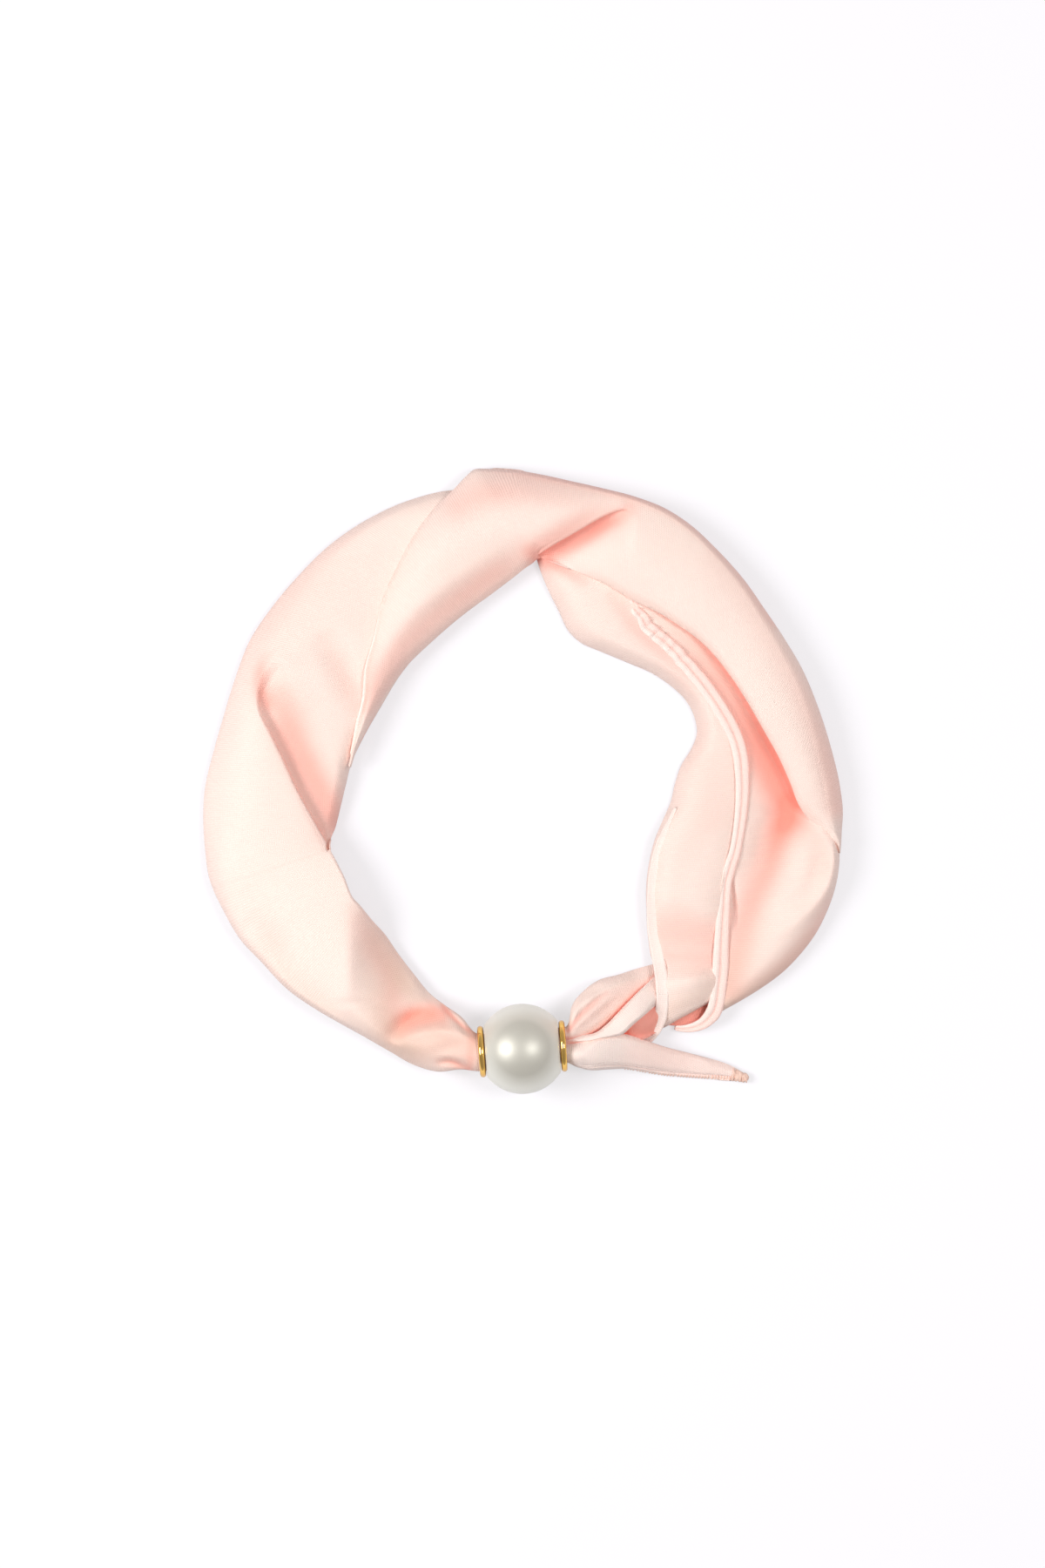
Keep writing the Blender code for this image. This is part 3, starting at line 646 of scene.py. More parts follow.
leftWrap = {
    "along": 320,
    "rows": [
        boreRow(-9.0, 0, 6.2, 6.2),
        boreRow(-15.2, 0, 6.4, 6.4),
        row((-20.6, -96.6), (-20.2, -79.4), 4.0, 20.8, edges=(13, 13), bundle=0.8),
        row((-28.6, -97.7), (-26.2, -75.4), 1.0, 18.4, edges=(8.5, 8.5), bundle=0.5),
        row((-36.5, -95.8), (-31.2, -71.8), 0.0, 15.6, 0.34, 6.4, edges=(5, 4.8), bundle=0.15, rolls=(8, 3)),
        row((-45.0, -91.0), (-36.4, -65.6), 0.0, 14.4, 0.2, 5.2, edges=(6.0, 4.2), rolls=(3.0, 2.4), fall=1.7),
        row((-54.0, -85.8), (-41.8, -58.6), 0.0, 16.4, 0.2, 5.0, edges=(6.5, 4.0), rolls=(2.4, 2), fall=1.7),
        row((-62.5, -81.0), (-46.4, -51.8), 0.0, 17.6, 0.32, 6.6, edges=(6.5, 5.4), shoulder=14.0, rolls=(2.2, 1.6), fall=1.8),
        row((-71.0, -76.0), (-50.4, -47.0), 0.0, 18.0, 0.52, 11.4, edges=(6.5, 10.2), shoulder=14.2, rolls=(2.4, 1.2), fall=2.0),
        row((-79.8, -69.6), (-54.0, -42.2), 0.0, 18.0, 0.66, 15.4, edges=(6.5, 14.2), shoulder=13.6, rolls=(2.8, 0.9)),
        row((-87.6, -61.4), (-57.0, -38.6), 0.0, 17.6, 0.76, 16.8, edges=(6.0, 15.8), shoulder=12.8, rolls=(3.4, 0.8)),
        row((-95.0, -53.6), (-59.4, -32.6), 0.0, 17.0, 0.78, 16.4, edges=(5.0, 15.4), shoulder=12.2, rolls=(4.4, 0.8)),
        row((-101.0, -43.5), (-62.2, -27.0), 0.0, 16.4, 0.76, 15.8, edges=(4.0, 14.8), shoulder=11.6, rolls=(6, 0.9)),
        row((-105.4, -34.0), (-64.6, -22.0), 0.0, 16.0, 0.62, 14.4, edges=(2.4, 13.0), shoulder=11.4, rolls=(9, 1.6)),
        row((-107.2, -22.0), (-63.0, -15.5), 0.0, 15.8, 0.54, 13.0, shoulder=10.8, rolls=(12, 4)),
        row((-107.7, -12.0), (-61.4, -9.0), 0.0, 15.6, 0.5, 12.6, rolls=(15, 4)),
        row((-107.0, -2.0), (-59.6, -1.5), 0.0, 15.4, 0.46, 12.4, rolls=(15, 4)),
        row((-104.4, 9.0), (-57.8, 5.5), 0.0, 15.2, 0.42, 12.0, rolls=(14, 5)),
        row((-101.0, 21.0), (-53.6, 14.5), 0.0, 14.8, 0.38, 10.0, rolls=(13, 7)),
        row((-97.2, 33.5), (-47.6, 25.0), 0.0, 14.2, 0.36, 8.4, rolls=(12, 7)),
        row((-92.0, 47.0), (-41.4, 35.2), 0.0, 13.4, 0.36, 7.2, rolls=(12, 7)),
        row((-85.0, 57.6), (-34.6, 43.5), 0.0, 12.6, 0.36, 6.6, rolls=(10, 7)),
        row((-76.0, 68.4), (-28.0, 50.0), 0.0, 11.8, 0.34, 6.2, rolls=(8, 7)),
        row((-65.0, 79.2), (-21.0, 57.0), 0.0, 11.0, 0.28, 5.8, rolls=(5, 7)),
        row((-52.0, 88.0), (-14.5, 62.5), 0.0, 10.2, 0.22, 5.2, rolls=(4, 7)),
        row((-38.0, 94.3), (-8.5, 67.5), 0.0, 9.2, 0.2, 5.0, rolls=(3.4, 7)),
        row((-24.0, 97.6), (-4.0, 72.0), 0.0, 7.4, 0.24, 5.0, rolls=(4, 7)),
        row((-16.0, 97.4), (-1.0, 76.0), 0.0, 6.0, 0.4, 5.0),
    ],
    # x, y, drop, how far it tucks under, crispness, how far until it has risen again
    "pleat": [
        (-85.0, 41.0, 0.0, 0.0, 0.0, 6.0), (-87.2, 37.6, 2.0, 0.0, 0.0, 8.0), (-89.4, 31.0, 3.6, 0.2, 0.2, 11.0), (-88.4, 23.4, 4.4, 0.5, 0.6, 14.0),
        (-84.4, 15.2, 4.8, 0.8, 0.9, 18.0), (-80.4, 6.8, 5.0, 1.0, 1.0, 22.0), (-76.4, -2.1, 5.0, 1.0, 1.0, 26.0), (-70.6, -13.0, 5.0, 1.0, 1.0, 28.0),
        (-66.6, -20.0, 4.6, 1.0, 1.0, 28.0), (-64.6, -23.4, 3.6, 0.8, 1.0, 28.0),
    ],
    "strokes": [
        # plan line, height, half width
        ([(-28.5, -73.4), (-22.3, -79.8), (-18.5, -83.3), (-12.0, -84.2)], -2.0, 1.1),
        ([(-24.0, -75.0), (-19.0, -79.6), (-13.0, -82.0)], 1.0, 1.4),
        ([(-29.0, -94.4), (-24.4, -94.0), (-18.0, -96.6)], -3.0, 1.4),
        ([(-31.0, -91.4), (-27.0, -89.8), (-22.0, -88.6), (-16.0, -88.4)], -1.2, 2.4),
        ([(-27.5, -79.4, -1.4), (-33.0, -79.8, -3.2), (-38.0, -81.0, -3.8), (-42.0, -84.4, -2.6), (-43.4, -88.0, -0.8)], 3.4),
        ([(-42.6, -90.4), (-38.8, -85.6), (-34.0, -83.8), (-26.0, -83.0), (-19.0, -84.4)], 1.5, 1.9),
        ([(-63.0, -74.4), (-52.0, -74.2), (-43.0, -75.8)], -0.5, 1.2),
        ([(-56.0, -42.0), (-57.4, -54.0), (-58.0, -68.0), (-61.0, -80.0)], 0.7, 3.2),
        ([(-94.0, -46.0), (-87.0, -54.0), (-80.0, -66.0)], -1.5, 6.0),
        ([(-67.0, 50.0), (-61.0, 40.0), (-55.0, 26.0)], -2.4, 6.0),
        ([(-84.0, 44.0), (-78.0, 34.0), (-71.0, 22.0)], 1.4, 4.5),
    ],
}

topWrap = {
    "along": 340,
    "underIn": 10.0,
    "rows": [
        row((-58.6, 4.6), (-57.6, 4.2), 7.4, 9.2),
        row((-57.4, 9.7), (-55.8, 10.0), 7.4, 10.8, edges=(9.2, 8.4)),
        row((-55.4, 18.8), (-51.8, 18.4), 7.0, 12.2, edges=(10.2, 8.2), rolls=(1.5, 3)),
        row((-53.5, 26.4), (-48.2, 25.6), 6.4, 13.0, 0.4, 10.6, edges=(10.6, 7.8), rolls=(1.5, 3)),
        row((-52.2, 38.5), (-42.0, 35.0), 5.8, 14.4, 0.34, 9.6, edges=(11.0, 7.4), shoulder=12.4, rolls=(1.5, 3)),
        row((-50.0, 46.4), (-37.5, 39.8), 5.2, 15.2, 0.35, 9.0, edges=(11.0, 7.2), shoulder=12.2, rolls=(1.5, 2.8)),
        row((-47.0, 59.7), (-30.5, 46.4), 4.0, 16.4, 0.36, 8.6, edges=(10.6, 7.0), shoulder=12.2, rolls=(1.5, 2.4)),
        row((-41.0, 73.3), (-22.5, 53.4), 2.8, 17.2, 0.38, 8.4, edges=(10.2, 6.8), shoulder=11.8, rolls=(1.5, 2.2)),
        row((-35.0, 84.0), (-15.8, 58.6), 2.4, 17.6, 0.4, 8.0, edges=(10.0, 6.4), shoulder=11.0, rolls=(1.5, 2)),
        row((-28.9, 91.5), (-10.5, 62.4), 2.4, 17.8, 0.42, 8.0, edges=(9.6, 6.4), shoulder=10.4, rolls=(1.6, 2)),
        row((-23.4, 97.2), (-6.0, 65.8), 2.4, 17.8, 0.45, 8.2, edges=(8.6, 6.6), shoulder=9.4, rolls=(1.6, 2)),
        row((-19.0, 102.0), (-2.8, 68.2), 2.8, 17.8, 0.47, 8.6, edges=(7.0, 7.0), shoulder=8.4, rolls=(1.6, 2.2)),
        row((-16.2, 104.4), (0.2, 70.6), 4.6, 17.8, 0.48, 9.6, edges=(5.0, 7.6), shoulder=7.8, rolls=(1.6, 2.6)),
        row((-11.8, 104.7), (3.0, 72.6), 4.0, 17.8, 0.49, 11.0, edges=(3.6, 6.2), shoulder=7.6, rolls=(1.8, 3.4)),
        row((-2.4, 104.2), (5.6, 74.3), 4.0, 17.8, 0.48, 13.8, edges=(3.0, 8.0), shoulder=7.8, rolls=(2, 6)),
        row((6.0, 102.7), (10.5, 72.8), 3.0, 17.8, 0.45, 13.0, edges=(4.4, 9.4), shoulder=9.2, rolls=(2, 3)),
        row((16.4, 100.3), (18.5, 69.6), 2.0, 17.6, 0.42, 12.4, edges=(5.4, 9.6), shoulder=11.2, rolls=(2, 3)),
        row((26.7, 97.9), (27.6, 65.6), 1.5, 17.4, 0.42, 12.6, edges=(6.2, 10.0), shoulder=12.4, rolls=(2, 3)),
        row((37.8, 95.0), (37.5, 59.7), 1.0, 16.6, 0.48, 12.6, edges=(6.4, 10.2), shoulder=12.6, rolls=(2.2, 3)),
        row((47.2, 91.4), (44.5, 56.4), 1.0, 16.2, 0.54, 12.8, edges=(6.4, 10.4), shoulder=12.6, rolls=(2.6, 3)),
        row((56.0, 85.8), (51.2, 52.3), 1.0, 16.2, 0.58, 13.2, edges=(6.4, 10.6), shoulder=12.6, rolls=(3, 2.6)),
        row((64.5, 78.0), (58.0, 47.5), 1.0, 16.4, 0.6, 13.8, edges=(6.2, 11.2), shoulder=12.6, rolls=(3.4, 2.4)),
        row((73.7, 67.9), (64.2, 41.4), 1.0, 16.6, 0.62, 14.6, edges=(6.0, 12.0), shoulder=12.6, rolls=(3.8, 2.4)),
        row((81.0, 57.6), (70.4, 33.2), 1.0, 16.8, 0.64, 15.4, edges=(5.8, 12.8), shoulder=12.8, rolls=(4.4, 2.4)),
        row((88.4, 46.6), (76.0, 24.2), 1.0, 17.0, 0.66, 16.0, edges=(5.4, 13.4), shoulder=12.8, rolls=(5.2, 2.4)),
        row((94.2, 36.6), (80.8, 15.8), 1.0, 17.0, 0.68, 16.0, edges=(5.0, 13.4), shoulder=12.6, rolls=(5.8, 2.4)),
        row((99.2, 24.6), (85.0, 8.4), 1.0, 16.6, 0.68, 15.6, edges=(4.6, 13.0), shoulder=12.2, rolls=(6, 2.4)),
        row((103.6, 10.8), (89.3, -1.0), 1.0, 15.6, 0.68, 14.6, edges=(4.4, 12.0), shoulder=11.4, rolls=(6.4, 2.4)),
        row((106.6, -2.0), (92.6, -9.0), 1.0, 14.4, 0.66, 13.0, edges=(4.4, 10.6), shoulder=10.8, rolls=(6, 2.8)),
        row((107.7, -11.0), (96.4, -14.0), 1.0, 13.2, 0.62, 11.8, edges=(3.0, 9.4), shoulder=10.6, rolls=(7.5, 4)),
        row((107.3, -17.0), (100.6, -17.9), 1.5, 12.4, 0.55, 11.6, edges=(3.4, 10.0), rolls=(4, 3)),
        row((107.0, -21.4), (104.2, -21.0), 3.0, 11.4, 0.5, 11.2, edges=(4.4, 9.8), rolls=(1.6, 1.2)),
        row((106.6, -24.6), (105.8, -24.2), 4.0, 8.6),
    ],
    "pleat": [
        (37.6, 92.0, 0.0, 0.0, 0.0, 8.0), (34.0, 91.2, 2.6, 0.2, 0.4, 8.0), (27.8, 88.7, 5.2, 0.6, 0.9, 10.0), (18.7, 83.6, 6.0, 0.8, 1.0, 12.0),
        (11.2, 79.4, 6.0, 0.8, 1.0, 12.0), (5.0, 75.6, 4.6, 0.5, 1.0, 12.0),
    ],
    "strokes": [
        ([(-46.0, 44.0), (-36.0, 56.0), (-20.0, 68.0), (-6.0, 77.0)], 0.9, 3.4),
        ([(34.0, 90.8), (27.4, 88.2), (18.6, 83.2), (11.0, 79.0), (4.6, 75.4)], -2.8, 4.4),
        ([(90.0, 16.0), (97.0, 2.0), (101.0, -10.0)], 0.6, 4.0),
    ],
}

lowerPanel = {
    "along": 300,
    "freeInner": True,
    "counts": (10, 60, 4, 40, 0),
    "rows": [
        row((40.5, 62.2), (35.2, 61.2), 0.3, 8.4, rolls=(1, 5)),
        row((46.6, 58.6), (37.6, 54.6), 0.3, 8.8, edges=(1, 3), rolls=(1, 5)),
        row((52.6, 55.2), (41.4, 48.9), 0.3, 9.0, edges=(1, 3), rolls=(1, 5)),
        row((59.0, 50.4), (46.4, 44.8), 0.3, 9.0, edges=(1, 3), rolls=(1, 5)),
        row((64.8, 45.2), (51.4, 39.4), 0.3, 9.2, edges=(1, 3), rolls=(1, 5)),
        row((76.4, 29.2), (61.6, 27.0), 0.3, 9.2, edges=(1, 3), rolls=(1, 5)),
        row((86.8, 11.6), (69.6, 12.2), 0.3, 9.2, edges=(1, 3), rolls=(1, 5)),
        row((92.0, 0.6), (71.2, 3.6), 0.3, 9.2, edges=(1, 3), rolls=(1, 5)),
        row((96.0, -7.4), (71.5, -4.4), 0.3, 9.2, edges=(1, 3), rolls=(1, 5)),
        row((100.4, -12.8), (71.2, -11.0), 0.3, 9.2, edges=(2, 3), rolls=(1, 5)),
        row((104.6, -18.2), (70.6, -17.0), 0.3, 10.6, edges=(3, 3), rolls=(1.5, 5)),
        row((106.4, -24.0), (69.6, -23.2), 0.3, 11.4, edges=(3, 3), rolls=(3, 5)),
        row((106.2, -30.4), (67.7, -29.4), 0.3, 11.6, edges=(3, 3), rolls=(3.6, 5)),
        row((104.8, -37.4), (66.3, -36.6), 0.3, 11.4, edges=(3, 3), rolls=(5, 5)),
        row((102.3, -44.4), (65.4, -43.8), 0.3, 11.2, edges=(3, 3), rolls=(8, 5)),
        row((98.6, -51.7), (64.7, -51.0), 0.3, 11.0, edges=(3, 3), rolls=(10, 5)),
        row((93.6, -58.4), (64.1, -58.0), 0.3, 10.4, edges=(3, 3), rolls=(11, 5)),
        row((87.0, -65.1), (63.7, -64.8), 0.3, 9.8, edges=(3, 3), rolls=(10.5, 5)),
        row((79.6, -70.5), (63.2, -70.4), 0.3, 8.6, edges=(2.6, 3), rolls=(8, 5)),
        row((73.4, -74.3), (62.6, -75.0), 0.3, 7.6, edges=(2.4, 3), rolls=(6, 5)),
        row((66.8, -78.1), (61.4, -78.6), 0.3, 6.4, edges=(2.2, 3), rolls=(4, 3)),
        row((61.5, -82.0), (59.0, -81.2), 0.3, 4.8),
        row((56.0, -84.2), (55.0, -82.6), 0.3, 3.6),
        row((51.0, -84.2), (51.0, -83.0), 0.3, 2.6),
    ],
    "shares": (0.0, 0.12, 0.25, 0.4, 0.55, 0.7, 0.85, 1.0),
    "heights": [
        (7.0, 7.6, 8.0, 8.2, 8.4, 8.4, 8.4, 8.4),
        (6.0, 6.8, 7.4, 8.0, 8.4, 8.6, 8.8, 8.8),
        (5.0, 5.8, 6.6, 7.4, 8.0, 8.5, 8.9, 9.0),
        (5.6, 6.0, 6.6, 7.2, 7.9, 8.4, 8.9, 9.0),
        (5.0, 5.4, 6.0, 6.8, 7.6, 8.3, 8.9, 9.2),
        (4.4, 4.8, 5.4, 6.2, 7.2, 8.1, 8.9, 9.2),
        (3.8, 4.0, 4.4, 5.2, 6.4, 7.6, 8.8, 9.2),
        (4.4, 4.4, 4.6, 5.2, 6.4, 7.8, 8.8, 9.2),
        (5.8, 5.4, 5.0, 5.2, 6.4, 7.8, 8.8, 9.2),
        (9.4, 9.2, 7.4, 5.4, 5.6, 7.4, 8.8, 9.2),
        (10.2, 11.0, 9.8, 7.4, 5.4, 6.2, 8.5, 9.2),
        (10.8, 11.4, 10.6, 8.8, 6.4, 5.8, 8.0, 9.2),
        (11.4, 11.6, 10.8, 9.4, 7.4, 6.0, 7.4, 9.0),
        (11.0, 11.6, 11.1, 10.0, 8.3, 6.6, 7.0, 8.6),
        (10.2, 11.0, 11.4, 10.6, 8.6, 6.6, 6.6, 8.2),
        (9.4, 10.4, 11.0, 10.8, 9.4, 7.6, 7.0, 8.0),
        (8.8, 9.7, 10.4, 10.5, 9.6, 8.2, 7.4, 7.8),
        (8.2, 9.0, 9.6, 9.8, 9.2, 8.2, 7.6, 7.6),
        (8.4, 8.4, 8.6, 8.6, 8.4, 7.8, 7.4, 7.4),
        (7.2, 7.3, 7.5, 7.6, 7.6, 7.2, 7.0, 6.8),
        (5.6, 5.8, 6.0, 6.2, 6.4, 6.2, 6.0, 6.0),
        (4.4, 4.5, 4.6, 4.7, 4.8, 4.8, 4.8, 4.8),
        (3.4, 3.4, 3.5, 3.5, 3.6, 3.6, 3.6, 3.6),
        (2.6, 2.6, 2.6, 2.6, 2.6, 2.6, 2.6, 2.6),
    ],
    "strokes": [
        ([(69.0, -31.0), (70.2, -41.0), (73.0, -51.0)], -1.8, 1.6),
        ([(95.0, -12.5, 0.6), (101.0, -18.6, 1.2), (104.0, -26.0, 1.2), (103.0, -34.0, 1.0), (97.0, -43.0, 0.8), (87.0, -50.0, 0.5), (78.0, -54.0, 0.0)], 2.6),
        ([(96.0, -20.0, 0.0), (99.0, -28.0, -1.2), (97.0, -36.0, -1.0), (90.0, -42.0, 0.0)], 3.6),
    ],
}

innerStrip = {
    "along": 300,
    "freeInner": True,
    "counts": (10, 60, 4, 40, 0),
    "rows": [
        row((4.0, 76.4), (8.6, 78.8), 0.3, 6.6, 0.6, 6.6, rolls=(2, 3)),
        row((5.4, 71.8), (12.4, 76.6), 0.3, 7.0, 0.55, 7.0, rolls=(2.4, 4)),
        row((7.9, 65.3), (20.5, 74.0), 0.3, 8.2, 0.5, 8.0, rolls=(5, 6)),
        row((12.1, 56.8), (31.4, 70.0), 0.3, 9.4, 0.45, 8.4, edges=(1.0, 2.7), rolls=(7, 6)),
        row((15.6, 49.9), (39.6, 64.0), 0.3, 9.8, 0.42, 8.0, edges=(1.0, 2.7), rolls=(7, 6)),
        row((19.8, 46.1), (43.0, 57.6), 0.3, 9.8, 0.42, 7.4, edges=(1.0, 2.7), rolls=(7, 6)),
        row((26.7, 43.1), (47.0, 51.6), 0.3, 9.6, 0.42, 7.0, edges=(1.0, 2.7), rolls=(7, 6)),
        row((36.1, 39.2), (52.2, 46.6), 0.3, 9.4, 0.42, 6.6, edges=(1.0, 2.7), rolls=(7, 6)),
        row((43.8, 35.8), (57.2, 41.0), 0.3, 9.2, 0.42, 6.4, edges=(1.0, 2.7), rolls=(6, 6)),
        row((50.6, 31.1), (62.2, 35.2), 0.3, 9.2, 0.42, 6.4, edges=(1.0, 2.7), rolls=(6, 6)),
        row((54.9, 26.8), (66.6, 29.0), 0.3, 9.2, 0.42, 6.4, edges=(1.0, 2.7), rolls=(6, 6)),
        row((57.9, 20.9), (71.0, 21.8), 0.3, 9.2, 0.42, 6.4, edges=(1.0, 2.7), rolls=(6, 6)),
        row((58.6, 15.4), (73.8, 15.6), 0.3, 9.2, 0.42, 6.4, edges=(1.0, 2.7), rolls=(6, 6)),
        row((56.8, 10.6), (75.6, 9.8), 0.3, 9.2, 0.42, 6.4, edges=(1.0, 2.7), rolls=(6, 6)),
        row((53.4, 5.0), (76.6, 3.6), 0.3, 9.4, 0.4, 6.4, edges=(1.0, 2.7), rolls=(7, 6)),
        row((51.2, -1.4), (77.0, -3.0), 0.3, 9.6, 0.4, 6.4, edges=(1.0, 2.7), rolls=(7, 6)),
        row((49.8, -7.4), (76.8, -9.0), 0.3, 10.0, 0.38, 6.4, edges=(1.0, 2.7), rolls=(7, 6)),
        row((47.4, -12.8), (76.2, -15.2), 0.3, 10.6, 0.38, 6.0, rolls=(5, 6)),
        row((44.4, -20.0), (75.2, -22.0), 0.3, 10.4, 0.36, 5.4, rolls=(4, 6), fall=2.4),
        row((42.5, -28.0), (73.4, -29.6), 0.3, 10.4, 0.34, 5.0, edges=(1.0, 2.7), rolls=(7, 6), fall=3),
        row((41.6, -35.0), (71.8, -36.0), 0.3, 10.6, 0.34, 4.6, edges=(1.2, 2.4), rolls=(4.4, 6), fall=3),
        row((41.5, -40.5), (71.2, -41.2), 0.3, 10.8, 0.36, 4.4, edges=(1.2, 2.4), rolls=(4.4, 6), fall=3),
        row((41.7, -44.4), (70.9, -45.2), 0.3, 9.8, 0.4, 4.4, edges=(1.2, 2.4), rolls=(4.4, 6), fall=3),
        row((42.2, -51.0), (70.4, -52.0), 1.0, 7.8, 0.44, 4.4, edges=(1.2, 2.4), rolls=(4.4, 6), fall=3),
        row((43.0, -57.6), (69.9, -58.2), 2.6, 7.0, 0.46, 4.6, edges=(1.2, 2.4), rolls=(4.4, 6), fall=2.6),
        row((43.9, -62.4), (69.4, -62.2), 4.6, 7.8, 0.46, 4.8, edges=(6.6, 5.0), rolls=(2, 6)),
        row((44.7, -67.6), (68.8, -66.0), 6.4, 11.2, 0.44, 5.0, edges=(8.6, 5.0), rolls=(2, 6)),
        row((44.9, -73.4), (67.8, -69.4), 6.0, 11.0, 0.42, 5.0, edges=(8.4, 5.0), rolls=(2, 6)),
        row((45.2, -79.4), (66.6, -71.8), 4.6, 8.8, 0.45, 5.0, edges=(6.4, 5.0), rolls=(2, 6)),
        row((46.0, -82.6), (65.8, -72.8), 3.6, 6.8, 0.5, 4.6, edges=(4.6, 4.0), rolls=(2, 6)),
        row((46.4, -83.7), (65.4, -73.4), 2.6, 4.6, 0.5, 3.6, rolls=(2, 6)),
        row((46.6, -83.2), (65.2, -73.0), 1.8, 3.0, 0.5, 2.8, rolls=(2, 6)),
    ],
    "strokes": [
        ([(44.0, -69.5), (54.0, -67.5), (63.0, -65.0)], 0.7, 2.5),
    ],
}

gather = {
    "along": 170,
    "rows": [
        boreRow(-2.0, 3.9, 2.2, 3.7),
        boreRow(8.0, 3.9, 2.2, 3.7),
        boreRow(13.6, 3.9, 2.4, 3.9),
        row((15.8, -87.2), (14.6, -82.0), 10.8, 19.2, edges=(15, 15), bundle=1.0),
        row((19.4, -86.4), (16.4, -75.2), 8.0, 19.0, edges=(13, 14), bundle=0.7),
        row((25.0, -85.0), (20.4, -70.4), 4.0, 17.4, 0.5, 15.6, edges=(9, 11), bundle=0.3, rolls=(6, 4)),
        row((30.6, -81.6), (25.6, -67.0), 1.5, 14.4, 0.55, 12.4, edges=(6, 8), bundle=0.1, rolls=(6, 3.4)),
        row((36.0, -77.4), (32.0, -65.4), 0.5, 10.8, 0.55, 9.0, edges=(4, 5.4), rolls=(6, 3)),
        row((41.0, -73.0), (38.8, -63.4), 0.3, 6.8, 0.5, edges=(2.6, 2.6), rolls=(5, 6)),
        row((46.2, -70.0), (45.2, -61.8), 0.3, 3.8),
        row((54.0, -69.0), (53.0, -62.0), 0.3, 3.4),
    ],
    "strokes": [
        ([(15.0, -83.4), (20.0, -77.4), (28.0, -71.0)], -1.4, 1.2),
        ([(15.4, -85.0), (23.0, -80.0), (33.0, -72.4)], -0.8, 1.4),
        ([(17.0, -74.0), (22.0, -70.6), (27.0, -69.0)], -1.0, 1.4),
        ([(16.0, -80.0), (18.6, -74.6), (22.0, -71.0)], 0.6, 1.2),
    ],
}

# the strap of the same cloth that crosses over the gather into the bead
gatherFold = {
    "along": 90,
    "ripple": 0.12,
    "rows": [
        boreRow(9.0, 1.6, 1.5, 1.4),
        row((16.6, -88.0), (15.4, -85.4), 14.6, 18.4, edges=(16, 16), bundle=0.8),
        row((21.0, -87.4), (19.0, -85.0), 13.4, 18.8, 0.3, edges=(16.0, 15.4), bundle=0.3, rolls=(1.6, 1.4)),
        row((27.0, -86.2), (24.0, -84.2), 12.0, 18.8, 0.3, 17.8, edges=(15.4, 15.4), rolls=(1.4, 1)),
        row((33.0, -84.9), (28.2, -81.2), 10.0, 18.2, 0.3, 16.8, edges=(14.4, 14.4), shoulder=17.8, rolls=(1.4, 1)),
        row((37.0, -81.6), (32.0, -77.4), 8.0, 17.0, 0.3, 15.4, edges=(13.0, 12.6), shoulder=16.6, rolls=(1.4, 1)),
        row((41.0, -78.4), (36.4, -73.0), 6.2, 14.6, 0.3, 13.0, edges=(11.0, 10.4), shoulder=14.2, rolls=(1.4, 1)),
        row((44.8, -75.4), (41.0, -68.8), 4.0, 11.0, 0.3, 9.4, edges=(8.0, 7.4), rolls=(2, 1.2)),
        row((49.0, -72.6), (46.0, -65.0), 0.6, 6.4),
        row((54.0, -70.6), (52.0, -63.4), 0.3, 2.6),
    ],
    "strokes": [],
}

tail = {
    "along": 170,
    "ripple": 0.1,
    "rows": [
        boreRow(-9.0, -2.4, 3.0, 4.2, True),
        boreRow(0.0, -2.4, 3.4, 4.6, True),
        boreRow(11.0, -2.4, 3.4, 4.6, True),
        boreRow(14.8, -2.4, 3.3, 5.0, True),
        row((18.2, -86.8), (17.6, -95.6), 10.2, 21.0, edges=(16.2, 13.8), bundle=0.6),
        row((22.6, -86.2), (22.4, -97.0), 8.0, 20.0, 0.4, 17.2, edges=(15.6, 11.4), bundle=0.2, shoulder=19.2, rolls=(2.2, 3.6)),
        row((27.2, -85.0), (27.8, -97.0), 6.0, 18.0, 0.35, 14.8, edges=(14.2, 9.0), shoulder=17.4, rolls=(1.8, 3)),
        row((33.5, -84.8), (34.0, -96.9), 4.6, 14.8, 0.3, 11.8, edges=(12.0, 7.0), shoulder=14.2, rolls=(2, 3)),
        row((40.4, -86.9), (40.2, -98.0), 2.6, 11.6, 0.35, 9.0, edges=(9.4, 5.0), shoulder=11.0, rolls=(2, 3)),
        row((47.2, -89.4), (46.4, -99.2), 1.2, 8.2, 0.4, 6.0, edges=(6.4, 3.4), shoulder=7.6, rolls=(2.4, 3.5)),
        row((55.0, -91.6), (54.2, -100.0), 0.3, 5.4, 0.4, 4.0, edges=(3.6, 2.2), shoulder=4.8, rolls=(2.2, 3)),
        row((62.4, -93.6), (62.0, -100.6), 0.3, 4.2, 0.4, 3.2, edges=(2.6, 1.8), shoulder=3.8, rolls=(2, 2.6)),
        row((68.4, -95.5), (68.0, -101.0), 0.3, 3.4),
        row((72.6, -97.6), (72.4, -101.2), 0.3, 3.0),
        row((74.6, -99.2), (74.4, -101.1), 0.3, 2.6),
    ],
    "pleat": [
        (14.0, -93.2, 0.6, 0.2, 0.5, 30.0), (20.0, -95.2, 1.2, 0.4, 1.0, 30.0), (28.0, -94.6, 1.3, 0.5, 1.0, 30.0), (36.0, -95.4, 1.2, 0.5, 1.0, 30.0),
        (42.0, -96.6, 1.1, 0.4, 1.0, 30.0), (50.0, -98.0, 0.9, 0.4, 1.0, 30.0), (60.0, -98.8, 0.8, 0.3, 1.0, 30.0), (68.0, -99.5, 0.5, 0.2, 1.0, 30.0),
        (72.0, -100.0, 0.0, 0.0, 0.5, 30.0),
    ],
    "strokes": [],
}

